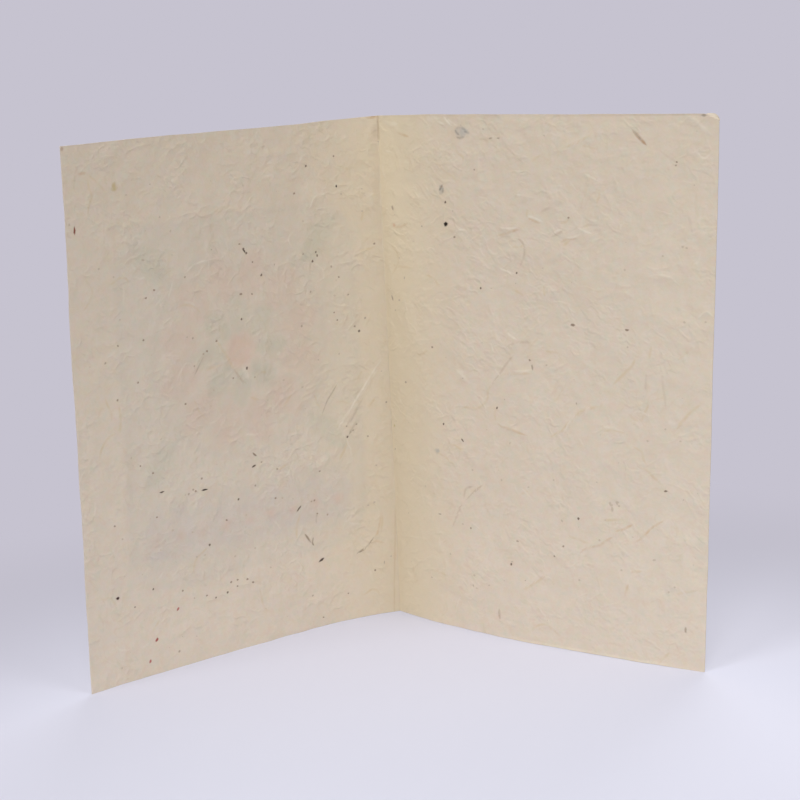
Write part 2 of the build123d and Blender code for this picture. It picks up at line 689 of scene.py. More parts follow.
@dataclass(frozen=True)
class Noise:
    """Noise of one size over the paper."""

    pitch: float  # about how far apart its hills are
    detail: float = 2.0  # how many finer octaves it has
    roughness: float = 0.5  # how much each finer octave counts
    size: float = 1.0  # about how far it goes to each side of 0
    shift: Point | None = None  # what sets it apart from other noise
    span: float = 3.2  # what brings it to between about -1 and 1 before that

    def at(self, place: Signal) -> Signal:
        """The noise at a place."""
        spot = place + self.shift if self.shift else place
        inputs = {"Vector": spot, "Scale": 1.0 / self.pitch}
        inputs |= {"Detail": self.detail, "Roughness": self.roughness}
        return (place.kit.node("ShaderNodeTexNoise", inputs=inputs) - 0.5) * (self.span * self.size)


class NodeKit:
    """Builds one material, or the world, out of nodes."""

    def __init__(self, owner: bpy.types.Material | bpy.types.World) -> None:
        """Empties what the nodes are for."""
        owner.use_nodes = True
        self.owner = owner
        self.tree = owner.node_tree
        self.tree.nodes.clear()

    def node(
        self, kind: str, settings: dict | None = None, inputs: dict | None = None, output: int | str = 0
    ) -> Signal:
        """Adds one node of any type.

        Args:
            kind: The node's type.
            settings: What is set on the node before its sockets.
            inputs: What each input socket is given: a number, a tuple or another node's socket.
            output: The output socket that is wanted.

        Returns:
            That output socket.
        """
        made = self.tree.nodes.new(kind)
        for name, setting in (settings or {}).items():
            setattr(made, name, setting)
        for key, given in (inputs or {}).items():
            if isinstance(given, Signal):
                self.tree.links.new(given.socket, made.inputs[key])
            else:
                made.inputs[key].default_value = given
        return Signal(self, made.outputs[output])

    def joined(self, x: Signal | float, y: Signal | float, z: Signal | float) -> Signal:
        """A vector of three values."""
        return self.node("ShaderNodeCombineXYZ", inputs={0: x, 1: y, 2: z})

    def attribute(self, name: str, output: str) -> Signal:
        """What the points of the mesh hold under a name."""
        return self.node("ShaderNodeAttribute", {"attribute_name": name}, output=output)

    def layered(self, colour: Signal | Colour, layers: list[tuple[Signal, Signal | Colour]]) -> Signal:
        """Lays colours over a base colour.

        Args:
            colour: The base colour.
            layers: Each layer's share and colour, from the lowest to the uppermost.

        Returns:
            The colour of them all.
        """
        settings = {"data_type": "RGBA", "clamp_factor": True}
        for share, upper in layers:
            base, over = (
                given if isinstance(given, Signal) else (*given, 1.0) for given in (colour, upper)
            )
            colour = self.node("ShaderNodeMix", settings, {0: share, 6: base, 7: over}, output=2)
        return colour

    def dress(self, colour: Signal, roughness: float, height: Signal) -> bpy.types.Material:
        """Joins the nodes to a plain rough shader.

        Args:
            colour: The base colour.
            roughness: The roughness.
            height: What the bump follows, in millimetres.

        Returns:
            The material.
        """
        bump = self.node("ShaderNodeBump", inputs={"Height": height, "Distance": METRES, "Strength": 1.0})
        inputs = {"Base Color": colour, "Roughness": roughness, "Specular IOR Level": SHEEN, "Normal": bump}
        return self.finish(self.node("ShaderNodeBsdfPrincipled", inputs=inputs))

    def finish(self, shader: Signal) -> bpy.types.Material | bpy.types.World:
        """Joins a shader to the output, and gives what the nodes are for."""
        kind = "World" if isinstance(self.owner, bpy.types.World) else "Material"
        out = self.tree.nodes.new("ShaderNodeOutput" + kind)
        self.tree.links.new(shader.socket, out.inputs["Surface"])
        return self.owner


@dataclass(frozen=True)
class Petals:
    """A ring of pointed petals around the rosette's middle."""

    count: int
    inner: float
    outer: float
    turn: float = 0.0  # how far it is turned, in whole turns
    plumpness: float = 0.86
    soft_tips: tuple[float, float] = (-0.02, 0.06)  # shares of half a petal's length

    def mask(self, turn: Signal, radius: Signal, soft: float) -> Signal:
        """Draws the petals.

        Args:
            turn: The direction from the rosette's middle, in whole turns.
            radius: The distance from its middle.
            soft: How wide the petals' soft edge is.

        Returns:
            A mask that is 1 inside the petals.
        """
        aside = abs(((turn + self.turn) * self.count).maths("FRACT") - 0.5) * (2 * math.pi / self.count)
        middle, half = (self.inner + self.outer) / 2, (self.outer - self.inner) / 2
        reach = (radius - middle) / half
        width = (1.0 - reach * reach).most(0.0) * (math.pi * middle / self.count * self.plumpness)
        return (width - radius * aside).rises(-soft, soft) * (1.0 - abs(reach)).rises(*self.soft_tips)


@dataclass(frozen=True)
class CoverPrint:
    """A plain traditional block print for the front cover: a rosette over a scalloped band, in a panel."""

    middle_across: float = -60.0
    middle_up: float = 89.0
    half_width: float = 49.0
    half_height: float = 61.0
    corner_radius: float = 15.0
    border: float = 0.9  # half its width, as for every line below
    hairline: float = 0.4
    hairline_inset: float = 5.0
    inside_inset: float = 6.0
    rosette_rise: float = 15.0
    rosette_radius: float = 36.0
    ring: float = 0.9
    outer_petals: Petals = Petals(12, 17.0, 35.0)
    inner_petals: Petals = Petals(8, 6.0, 20.0, 1 / 16)
    heart_radius: float = 5.5
    heart_ring_radius: float = 7.6
    heart_ring: float = 0.5
    leaf_across: float = 35.0  # how far each corner leaf is from the rosette's middle
    leaf_up: float = 33.5
    leaf_half_width: float = 4.2
    leaf_narrowing: float = 24.0
    vein: float = 0.3
    band_drop: float = 31.0  # what the next heights are measured from, below the panel's middle
    band_pitch: float = 9.5
    scallop_top: float = -6.5
    scallop_height: float = 4.5
    scallop_foot: float = -20.0
    stripe: float = 0.8
    stripes: tuple[float, float] = (-1.4, -22.0)
    bead_row: float = -12.8
    bead_radius: float = 0.15  # as a share of the pitch
    slate: Colour = (0.17, 0.22, 0.26)
    rose: Colour = (0.60, 0.30, 0.25)
    leaf_green: Colour = (0.20, 0.33, 0.22)
    lavender: Colour = (0.36, 0.35, 0.46)
    vermilion: Colour = (0.62, 0.12, 0.05)
    mist: Colour = (0.42, 0.46, 0.44)
    sand: Colour = (0.62, 0.50, 0.40)

    def line(self, gap: Signal, half_width: float, soft: float) -> Signal:
        """A line at a distance of 0, which grows fainter where it is blurred beyond its width."""
        return (abs(gap) - half_width).rises(soft, -soft) * min(1.0, half_width / soft)

    def layers(self, place: Signal, soft: float) -> list[tuple[Signal, Colour]]:
        """Draws the print as masks, from the lowest ink to the uppermost.

        Args:
            place: The place on the paper.
            soft: How wide the soft edge of each shape is, in millimetres.

        Returns:
            Each layer's mask and ink.
        """
        across, up, _ = place.split()
        x, y = across - self.middle_across, up - self.middle_up
        beyond_x = (abs(x) - (self.half_width - self.corner_radius)).most(0.0)
        beyond_y = (abs(y) - (self.half_height - self.corner_radius)).most(0.0)
        rim = beyond_x.slant(beyond_y) - self.corner_radius
        inside = (rim + self.inside_inset).rises(soft, -soft)

        rosette_y = y - self.rosette_rise
        radius = x.slant(rosette_y)
        turn = rosette_y.maths("ARCTAN2", x) / (2 * math.pi) + 0.5
        ring = self.line(radius - self.rosette_radius, self.ring, soft)
        heart_ring = self.line(radius - self.heart_ring_radius, self.heart_ring, soft)
        length, slant = turned(abs(x) - self.leaf_across, abs(rosette_y) - self.leaf_up, 45.0)
        leaf = self.leaf_half_width - length * length / self.leaf_narrowing - abs(slant)
        leaf = leaf.rises(-soft, soft)

        band_y = y + self.band_drop
        wave = abs((x * (math.pi / self.band_pitch)).maths("COSINE")) * self.scallop_height
        band = (band_y - self.scallop_top - wave).rises(soft, -soft)
        band = band * (band_y - self.scallop_foot).rises(-soft, soft) * inside
        bead_x = (x / self.band_pitch + 0.5).maths("FRACT") - 0.5
        bead = bead_x.slant((band_y - self.bead_row) / self.band_pitch) - self.bead_radius
        soft_bead = soft / self.band_pitch
        upper, lower = (self.line(band_y - level, self.stripe, soft) for level in self.stripes)
        return [
            (rim.rises(soft, -soft) * 0.75, self.mist),
            ((radius - self.rosette_radius).rises(soft, -soft), self.sand),
            (self.outer_petals.mask(turn, radius, soft) * 0.85, self.rose),
            (self.inner_petals.mask(turn, radius, soft) * 0.9, self.leaf_green),
            ((radius - self.heart_radius).rises(soft, -soft), self.vermilion),
            (heart_ring.most(ring), self.slate),
            (leaf * 0.9, self.leaf_green),
            (self.line(slant, self.vein, soft) * leaf, self.mist),
            (band * 0.8, self.lavender),
            (bead.rises(soft_bead, -soft_bead) * inside, self.vermilion),
            (upper.most(lower) * inside, self.slate),
            (self.line(rim + self.hairline_inset, self.hairline, soft) * 0.8, self.rose),
            (self.line(rim + self.border, self.border, soft) * 0.8, self.slate),
        ]


@dataclass(frozen=True)
class Stain:
    """A soft spot or streak in the paper, where the photograph shows one."""

    pixel: Pixel
    half_width: float
    half_height: float
    ink: Colour
    strength: float


@dataclass(frozen=True)
class PaperFinish:
    """Cream bast-fibre paper: soft clouds and mottle, ochre threads, stains, and a fine felt of fibres."""

    form: SheetForm
    view: PhotoView
    cover_print: CoverPrint
    cream: Colour = (0.655, 0.568, 0.462)
    thin_pulp: Colour = (0.60, 0.505, 0.385)
    thick_pulp: Colour = (0.705, 0.62, 0.52)
    rosy: Colour = (0.67, 0.54, 0.445)
    sage: Colour = (0.61, 0.575, 0.462)
    yellowish: Colour = (0.655, 0.57, 0.405)
    bluish: Colour = (0.645, 0.566, 0.52)
    # the painted reflected light near the fold
    fold_reflected_yellow: Colour = (0.665, 0.56, 0.38)
    # painted light that lifts the back leaf's shade beside the fold
    fold_lightening: Colour = (0.73, 0.64, 0.465)
    top_edge_dark: Colour = (0.47, 0.37, 0.28)
    ochre: Colour = (0.55, 0.42, 0.25)
    # the painted shade along the fold's creases
    fold_shade_brown: Colour = (0.40, 0.30, 0.20)
    cloud: Noise = Noise(19.0)
    cloud_share: float = 0.28
    mottle: Noise = Noise(4.2, 3.0, 0.6, 0.46)
    grain: Noise = Noise(0.9, 2.0, 0.7, 0.3)
    hue: Noise = Noise(3.2, 2.0, 0.8, 0.95, (50.0, 20.0, 9.0))
    warmth: Noise = Noise(3.0, 2.0, 0.75, 0.55, (80.0, 60.0, 5.0))
    blotches: Noise = Noise(2.6, 1.0, size=1.3)  # in the colour at the soft edges of strands and flecks
    fold_painted_light_share: float = 0.5
    foot_light_middle: float = 97.0  # painted light where the floor lights the foot: the paper is paler below this height and darker above it
    foot_light_by_height: float = 0.0038
    fold_reflected_reach: float = 44.0  # how far from the fold the paper is yellower, painted light that the two leaves reflect onto each other
    fold_lightening_reach: float = 34.0  # how far from the fold the back leaf is painted paler as well, painted light over the shade it gets there
    top_edge_dark_leaf: tuple[float, float] = (60.0, 100.0)  # between these places the darker band along the top edge grows stronger
    top_edge_dark_depth: tuple[float, float] = (0.8, 0.1)
    thread_bend: Noise = Noise(15.0, 1.0, size=7.0)
    thread_share: float = 0.14
    thread_patches: Noise = Noise(13.0, 0.0)
    thread_length: float = 15.0
    thread_pitch: float = 4.5
    thread_sets: tuple[tuple[float, float], ...] = ((28.0, 4.0), (118.0, 17.0))  # their headings and seeds
    felt: Noise = Noise(1.3, 2.0, 0.65, 0.0145)
    lumps: Noise = Noise(2.6, size=0.03, shift=(40.0, 8.0, 2.0))
    ridge_sets: tuple[Point, ...] = ((-35.0, 4.4, 3.0), (20.0, 5.2, 11.0), (-80.0, 6.4, 23.0))
    ridge_height: float = 0.104  # of all three sets, which are headings, pitches and seeds above
    ridge_stretch: float = 1.5
    ridge_patches: float = 11.0
    roughness: float = 0.86
    cut_roughness: float = 0.92
    cut_height: float = 0.04
    ghost_strength: float = 0.115
    ghost_blur: float = 2.2
    ghost_patches: Noise = Noise(7.0, 1.0, size=0.35, shift=(5.0, 5.0, 0.0))
    print_edge: float = 0.22
    print_wear: Noise = Noise(1.6, 3.0, 0.7)
    print_patches: Noise = Noise(9.0, size=0.12)
    fold_wander: Noise = Noise(30.0, 0.0, size=0.18)
    fold_shade_breaks: Noise = Noise(9.0, size=0.2)
    second_fold_wander: Noise = Noise(30.0, 0.0, size=0.3)
    second_fold_shade_breaks: Noise = Noise(8.0, size=0.2)
    second_fold_top: float = 42.0  # where the second line runs into the fold
    second_fold_offset: float = 2.3  # how far it is from the fold at the foot
    stain_edge: Noise = Noise(1.2, 1.0, size=0.35)
    stains: tuple[Stain, ...] = (
        Stain((456, 134), 3.4, 2.6, (0.60, 0.46, 0.33), 0.3),
        Stain((462.2, 132), 2.9, 2.0, (0.41, 0.415, 0.40), 0.58),
        Stain((441.7, 189.2), 1.15, 1.9, (0.34, 0.34, 0.30), 0.55),
        Stain((438, 451), 1.3, 1.2, (0.32, 0.34, 0.33), 0.5),
        Stain((114, 187), 1.6, 1.5, (0.47, 0.36, 0.13), 0.55),
        Stain((61.5, 149), 0.9, 1.1, (0.36, 0.23, 0.16), 0.5),
        Stain((82, 173.5), 2.0, 0.7, (0.58, 0.40, 0.28), 0.35),
        Stain((394.5, 225), 0.9, 0.7, (0.62, 0.33, 0.20), 0.45),
        Stain((704.3, 114.9), 1.1, 0.6, (0.20, 0.17, 0.13), 0.65),
        Stain((374.5, 132), 1.7, 2.6, (0.50, 0.38, 0.30), 0.2),
        Stain((372.5, 117.2), 2.4, 0.7, (0.50, 0.32, 0.17), 0.5),
        Stain((395, 425.5), 0.55, 0.65, (0.45, 0.38, 0.12), 0.6),
        Stain((395.5, 556), 1.1, 1.8, (0.60, 0.42, 0.29), 0.25),
        Stain((500, 614), 0.6, 1.9, (0.40, 0.27, 0.17), 0.4),
    )

    def crumple(self, place: Signal) -> Signal:
        """Builds the ridges of finely crumpled paper, which run mostly one way.

        Args:
            place: The place on the paper.

        Returns:
            Their height, in millimetres.
        """
        across, up, depth = place.split()
        total = self.lumps.at(place)
        for heading, pitch, seed in self.ridge_sets:
            along, beside = turned(across, up, heading)
            spot = place.kit.joined(along / self.ridge_stretch, beside, depth * 4.0 + seed)
            ridge = abs(Noise(pitch).at(spot)).rises(0.36, 0.0)
            here = Noise(self.ridge_patches, 0.0, shift=(31.0, 7.0, seed)).at(place).rises(-0.4, 0.9)
            total = total + ridge * here * self.ridge_height
        return total * (across.rises(6.0, -6.0) * 0.26 + 0.9)  # the front cover is more crumpled

    def fold_shade_line(self, place: Signal) -> Signal:
        """Draws painted shade along the fold's crease, a dark hairline which comes and goes.

        Args:
            place: The place on the paper.

        Returns:
            A mask that is 1 on the line.
        """
        across, up, _ = place.split()
        wander = self.fold_wander.at(place.kit.joined(0.0, up, 0.0))
        line = abs(across - wander).rises(0.42, 0.05)
        shade_breaks = (self.fold_shade_breaks.at(place.kit.joined(3.0, up, 0.0)) + 0.16).most(0.0)
        faded = 1.0 - up.rises(96.0, 112.0) * 0.75
        stroke = abs(across - 0.15).rises(0.8, 0.2) * up.rises(169.0, 170.5)  # the painted shade at the top end
        return (line * shade_breaks * faded).most(stroke * 0.5)

    def second_fold_shade_line(self, place: Signal) -> Signal:
        """Draws painted shade along a fainter crease on the front cover, which leaves the fold on its way
        to the foot.

        Args:
            place: The place on the paper.

        Returns:
            A mask that is 1 on the line.
        """
        across, up, _ = place.split()
        wander = self.second_fold_wander.at(place.kit.joined(0.0, up, 0.0))
        beside = (1.0 - up / self.second_fold_top) * self.second_fold_offset
        shade_breaks = self.second_fold_shade_breaks.at(place.kit.joined(8.0, up, 0.0)) + 0.35
        return abs(across + beside - wander).rises(0.45, 0.05) * up.rises(self.second_fold_top, 36.0) * shade_breaks

    def stain_layers(self, place: Signal) -> list[tuple[Signal, Colour]]:
        """Draws the soft stains.

        Args:
            place: The place on the paper.

        Returns:
            Each stain's mask and ink.
        """
        across, up, _ = place.split()
        ragged = self.stain_edge.at(place)
        pixels = tuple(stain.pixel for stain in self.stains)
        layers = []
        for stain, middle in zip(self.stains, self.view.places_of(self.form, pixels).tolist()):
            reach = ((across - middle[0]) / stain.half_width).slant((up - middle[1]) / stain.half_height)
            layers.append(((reach + ragged).rises(1.15, 0.25) * stain.strength, stain.ink))
        return layers

    def colour(self, place: Signal) -> Signal:
        """Builds the bare paper's colour, with thin wandering fibres in it.

        Args:
            place: The place on the paper.

        Returns:
            The colour.
        """
        across, up, depth = place.split()
        cloud, hue, warmth = self.cloud.at(place), self.hue.at(place), self.warmth.at(place)
        # painted light: paler towards the foot, for the light the floor throws up, and darker towards the
        # top
        even = (self.foot_light_middle - up) * self.foot_light_by_height
        pulp_and_foot_light = even + cloud * self.cloud_share + self.mottle.at(place) + self.grain.at(place)
        # painted reflected light: the paper near the fold is yellower, as light bounces between the leaves
        fold_reflected_yellow = (abs(across) + cloud * 5.0).rises(self.fold_reflected_reach, -6.0)
        # painted light: the back leaf near the fold is paler, to lift the shade it gets from the front
        # cover
        fold_lightening = across.rises(-0.3, 0.3) * across.rises(self.fold_lightening_reach, 3.0)
        # a thin darker band along the top edge, stronger on the back leaf
        top_edge_darkening = across.rises(*self.top_edge_dark_leaf) * 0.25 + 0.12
        layers = [
            (pulp_and_foot_light.most(0.0), self.thick_pulp),
            ((pulp_and_foot_light * -0.8).most(0.0), self.thin_pulp),
            (hue.most(0.0), self.rosy),
            ((-hue).most(0.0), self.sage),
            (warmth.most(0.0), self.yellowish),
            ((-warmth).most(0.0), self.bluish),
            (fold_reflected_yellow * self.fold_painted_light_share, self.fold_reflected_yellow),
            (fold_lightening * self.fold_painted_light_share, self.fold_lightening),
            ((self.form.leaf_height - up).rises(*self.top_edge_dark_depth) * top_edge_darkening, self.top_edge_dark),
        ]
        bend = self.thread_bend.at(place)
        for heading, seed in self.thread_sets:
            along, beside = turned(across, up, heading)
            along, beside = along / self.thread_length, (beside + bend) / self.thread_pitch
            spot = place.kit.joined(along, beside, depth * 3.0 + seed)
            here = self.thread_patches.at(place.kit.joined(across, up, depth * 5.0 + seed))
            thread = abs(Noise(1.0, 1.0).at(spot)).rises(0.05, 0.0) * here.rises(0.1, 0.7)
            layers.append((thread * self.thread_share, self.ochre))
        return place.kit.layered(self.cream, layers)

    def tint_layer(self, place: Signal) -> tuple[Signal, Signal]:
        """The colour of strands and flecks, which the sheet's own points have none of, and its share."""
        cover = place.kit.attribute(TINT_ATTRIBUTE, "Alpha")
        share = cover + cover * (1.0 - cover) * self.blotches.at(place)
        return share, place.kit.attribute(TINT_ATTRIBUTE, "Color")

    def face(self, face: Face) -> bpy.types.Material:
        """Builds one face of the paper, where the cover's print is on the outside and shows through inside.

        Args:
            face: The face.

        Returns:
            The material.
        """
        kit = NodeKit(bpy.data.materials.new(f"paper_{face.name.lower()}"))
        place = kit.attribute(PLACE_ATTRIBUTE, "Vector")
        fold = self.fold_shade_line(place)
        if face is Face.INSIDE:
            strength = (self.ghost_patches.at(place) + 1.0) * self.ghost_strength
            soft = self.ghost_blur
            # painted shade along the fold and the crease beside it
            lines = [(fold, self.fold_shade_brown), (self.second_fold_shade_line(place), self.ochre)]
            marks = self.stain_layers(place) + lines
        else:
            strength = (self.print_patches.at(place) + 0.84) * self.print_wear.at(place).rises(-1.25, -0.55)
            soft = self.print_edge
            # painted shade of the fold, fainter on the outside
            marks = [(fold * 0.6, self.fold_shade_brown)]
        inks = [(mask * strength, ink) for mask, ink in self.cover_print.layers(place, soft)]
        colour = kit.layered(self.colour(place), [*inks, *marks, self.tint_layer(place)])
        return kit.dress(colour, self.roughness, self.felt.at(place) + self.crumple(place))

    def cut_edge(self) -> bpy.types.Material:
        """Builds the pale cut edge, where the pulp's layers show.

        Returns:
            The material.
        """
        kit = NodeKit(bpy.data.materials.new("paper_cut_edge"))
        layered = Noise(self.grain.pitch).at(kit.attribute(PLACE_ATTRIBUTE, "Vector"))
        colour = kit.layered(self.cream, [(layered * 0.5 + 0.6, self.thick_pulp)])
        return kit.dress(colour, self.cut_roughness, layered * self.cut_height)


def paper_mesh(
    name: str, points: Array, places: Array, tints: Array, faces: Array, spots: Array
) -> bpy.types.Mesh:
    """Makes a mesh whose points know where on the paper they are.

    Args:
        name: Its name.
        points: Its points, in millimetres.
        places: Each point's place on the paper.
        tints: Each point's colour, and how much of the paper's colour it hides.
        faces: The points of each face.
        spots: The place of each face's corners in the bake's map.

    Returns:
        The mesh, shaded smooth.
    """
    mesh = bpy.data.meshes.new(name)
    mesh.from_pydata((points * METRES).tolist(), [], faces.tolist())
    for attribute, kind, key, values in (
        (PLACE_ATTRIBUTE, "FLOAT_VECTOR", "vector", places),
        (TINT_ATTRIBUTE, "FLOAT_COLOR", "color", tints),
    ):
        made = mesh.attributes.new(attribute, kind, "POINT")
        made.data.foreach_set(key, values.astype(np.float32).ravel())
    layer = mesh.uv_layers.new(name=BAKE_MAP)
    layer.uv.foreach_set("vector", spots.astype(np.float32).ravel())
    mesh.shade_smooth()
    return mesh


def riding(name: str, mesh: bpy.types.Mesh) -> bpy.types.Object:
    """Puts a mesh in the scene as a piece that rides on the card, and reports it."""
    made = shown(name, mesh)
    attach(made, BODY)
    log.info("%s: %d faces", name, len(mesh.polygons))
    return made


@dataclass
class MeshDraft:
    """A mesh while it is being built: its points, its faces and what goes with each of them."""

    cells: int = 1  # how many bodies lie side by side in the bake's map
    margin: float = 0.05  # of a cell, around each body there
    bodies: list[tuple[Array, ...]] = field(default_factory=list)
    count: int = 0

    def add(
        self, points: Array, normals: Array, places: Array, tints: Array, faces: Array, flat: Array
    ) -> None:
        """Adds one closed body of triangles.

        Args:
            points: Its points, in millimetres.
            normals: The way each point is shaded, where 0, 0, 0 leaves that to its faces.
            places: Each point's place on the paper.
            tints: Each point's colour, and how much of the paper's colour it hides.
            faces: The points of each triangle.
            flat: The place of each triangle's corners in a square map of the body.
        """
        row, column = divmod(len(self.bodies), self.cells)
        spots = (np.array([column, row]) + self.margin + (1 - 2 * self.margin) * flat) / self.cells
        self.bodies.append((normals, points, places, tints, faces + self.count, spots.reshape(-1, 2)))
        self.count += len(points)

    def build(self, name: str, material: bpy.types.Material) -> bpy.types.Object:
        """Makes the Blender object.

        Args:
            name: The piece's name.
            material: Its finish.

        Returns:
            The object, which rides on the card.
        """
        normals, *rest = (np.concatenate(part) for part in zip(*self.bodies))
        mesh = paper_mesh(name, *rest)
        mesh.materials.append(material)
        mesh.normals_split_custom_set_from_vertices(normals.tolist())
        return riding(name, mesh)


def tube(rings: int, steps: int) -> tuple[Array, Array]:
    """Lists the triangles of a closed tube, whose points go along it line by line.

    Args:
        rings: How many points there are around the tube.
        steps: How many sections there are along it.

    Returns:
        The points of each triangle, and the place of its corners in a square map.
    """
    grid = np.arange(rings * steps).reshape(rings, steps)
    beside = np.roll(grid, -1, axis=0)
    a, b, c, d = grid[:, :-1], grid[:, 1:], beside[:, 1:], beside[:, :-1]
    ends = [[grid[0, 0], grid[i, 0], grid[i + 1, 0]] for i in range(1, rings - 1)]
    ends += [[grid[0, -1], grid[i + 1, -1], grid[i, -1]] for i in range(1, rings - 1)]
    sides = [stacked(a, b, c).reshape(-1, 3), stacked(a, c, d).reshape(-1, 3)]
    faces = np.concatenate([*sides, np.array(ends)])
    ring, step = np.divmod(np.arange(rings * steps), steps)
    flat = stacked(step / (steps - 1), ring / rings)[faces]
    level = flat[:, :, 1]
    wraps = np.ptp(level, axis=1) > 0.5
    level[wraps] = np.where(level[wraps] < 0.25, 1.0, level[wraps])
    return faces, flat


@dataclass
class PaperSheet:
    """The folded sheet itself: one closed mesh with both faces and the cut edges between them."""

    form: SheetForm
    edges: HandCutEdges
    wrinkles: Wrinkles
    finish: PaperFinish
    unevenness: float = 0.02  # of the paper's thickness
    unevenness_pitch: float = 3.3
    fine_columns: tuple[tuple[float, float, float], ...] = ((0.25, 1.01, 0.25), (1.5, 3.01, 0.5))
    coarse_start: float = 4.0  # from here on, a column stands in every millimetre
    map_gap: float = 0.008  # half of what parts the two faces in the bake's map
    rim_gap: float = 0.004  # half the height of the cut edge there
    columns: Array = field(init=False)
    rows: Array = field(init=False)
    corners: dict[Face, Array] = field(init=False)
    normals: dict[Face, Array] = field(init=False)
    across: Array = field(init=False)
    up: Array = field(init=False)
    materials: dict[Face, bpy.types.Material] = field(init=False)

    def __post_init__(self) -> None:
        """Lays out the grid, which is finer at the fold, and lifts both faces off its middle."""
        self.materials = {face: self.finish.face(face) for face in Face}
        width, height = self.form.leaf_width, self.form.leaf_height
        half = [np.arange(*run) for run in self.fine_columns] + [np.arange(self.coarse_start, width + 0.5)]
        half = np.concatenate(half)
        self.columns = np.concatenate([-half[::-1], [0.0], half])
        self.rows = np.concatenate([[0.0, self.edges.lip_height], np.arange(1, height + 0.5)]) / height
        foot, top = self.edges.foot(self.columns), self.edges.top(self.columns)
        self.up = foot + (top - foot) * self.rows[:, None]
        even = np.broadcast_to(self.columns, self.up.shape)
        self.across = even + self.edges.side_shift(even, self.up)
        middle = self.form.points(self.across, self.up)
        inwards = self.form.inwards(self.across, self.up)
        relief = self.wrinkles.relief(self.across, self.up) + self.edges.lip(self.across, self.up)
        self.corners, self.normals = {}, {}
        for face in Face:
            pulp = Waves(self.unevenness_pitch, Seed.PULP + face.value, self.unevenness)
            lift = relief + face.value * (self.form.thickness / 2 + pulp.at(self.across, self.up))
            self.corners[face] = middle + inwards * lift[..., None]
            by_up, by_across = np.gradient(self.corners[face], axis=(0, 1))
            self.normals[face] = unit(np.cross(by_across, by_up) * face.value)

    def on_face(self, across: Array, up: Array, face: Face) -> tuple[Array, Array]:
        """Finds points on the mesh itself, between its grid's corners.

        Args:
            across: The places' distances along the paper from the fold.
            up: Their heights.
            face: The face they are on.

        Returns:
            The points, and the face's outward normals there.
        """
        foot, top = self.edges.foot(across), self.edges.top(across)
        column, right = self.between(self.columns, across)
        row, above = self.between(self.rows, (up - foot) / (top - foot))
        found = []
        for grid in (self.corners[face], self.normals[face]):
            low = grid[row, column] * (1 - right) + grid[row, column + 1] * right
            high = grid[row + 1, column] * (1 - right) + grid[row + 1, column + 1] * right
            found.append(low * (1 - above) + high * above)
        return found[0], found[1]

    def between(self, marks: Array, values: Array) -> tuple[Array, Array]:
        """The last mark before each value, and how far the value is on its way to the next."""
        before = np.clip(np.searchsorted(marks, values) - 1, 0, len(marks) - 2)
        share = np.clip((values - marks[before]) / (marks[before + 1] - marks[before]), 0, 1)
        return before, share[..., None]

    def quads(self) -> Array:
        """The corners of the grid's faces, by their numbers."""
        index = np.arange(self.up.size).reshape(self.up.shape)
        return stacked(index[:-1, :-1], index[:-1, 1:], index[1:, 1:], index[1:, :-1]).reshape(-1, 4)

    def rim(self) -> Array:
        """The grid's outer points in order, starting at the foot on the front cover's side."""
        index = np.arange(self.up.size).reshape(self.up.shape)
        return np.concatenate([index[0, :-1], index[:-1, -1], index[-1, :0:-1], index[:0:-1, 0]])

    def map_spots(self, quads: Array, rim: Array) -> Array:
        """Lays the inside over the outside in the bake's map, with the cut edge as a strip between them.

        Args:
            quads: The corners of the grid's faces.
            rim: The grid's outer points.

        Returns:
            The places of every face's corners, those of the cut edge last.
        """
        left = (self.columns + self.form.leaf_width) / (2 * self.form.leaf_width)
        level = stacked(left, self.rows[:, None]).reshape(-1, 2)
        size = np.array([1.0, 0.5 - self.map_gap])
        gone = np.arange(len(rim) + 1) / len(rim)
        start, end = gone[:-1], gone[1:]
        high, low = 0.5 + self.rim_gap, 0.5 - self.rim_gap
        strip = [stacked(end, high), stacked(start, high), stacked(start, low), stacked(end, low)]
        upper, lower = level * size + (0.0, 1.0 - size[1]), level * size
        spots = np.concatenate([upper[quads], lower[quads[:, ::-1]], np.stack(strip, axis=1)])
        return spots.reshape(-1, 2)

    def build(self) -> bpy.types.Object:
        """Makes the sheet's mesh.

        Returns:
            The object, which replaces the CAD sheet.
        """
        quads, rim, back = self.quads(), self.rim(), self.up.size
        ahead = np.roll(rim, -1)
        strip = stacked(ahead, rim, rim + back, ahead + back)
        points = np.concatenate([self.corners[face].reshape(-1, 3) for face in Face])
        places = np.concatenate([stacked(self.across, self.up, face.value).reshape(-1, 3) for face in Face])
        faces = np.concatenate([quads, quads[:, ::-1] + back, strip])
        tints = np.zeros((len(points), 4))
        mesh = paper_mesh("paper_sheet", points, places, tints, faces, self.map_spots(quads, rim))
        for material in (*self.materials.values(), self.finish.cut_edge()):
            mesh.materials.append(material)
        kinds = np.repeat([0, 1, 2], [len(quads), len(quads), len(strip)])
        mesh.polygons.foreach_set("material_index", kinds.astype(np.int32))
        self.sharpen(mesh, np.concatenate([rim, rim + back]))

        made = riding("paper_sheet", mesh)
        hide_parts(CAD_SHEET)
        return made

    def sharpen(self, mesh: bpy.types.Mesh, rim: Array) -> None:
        """Keeps the two edges of the cut crisp.

        Args:
            mesh: The sheet's mesh.
            rim: The outer points of both faces.
        """
        at_rim = np.isin(np.arange(len(mesh.vertices)), rim)
        ends = np.zeros(len(mesh.edges) * 2, np.int32)
        mesh.edges.foreach_get("vertices", ends)
        ends = ends.reshape(-1, 2)
        outside = ends >= self.up.size
        sharp = mesh.attributes.new("sharp_edge", "BOOLEAN", "EDGE")
        sharp.data.foreach_set("value", at_rim[ends].all(1) & (outside[:, 0] == outside[:, 1]))


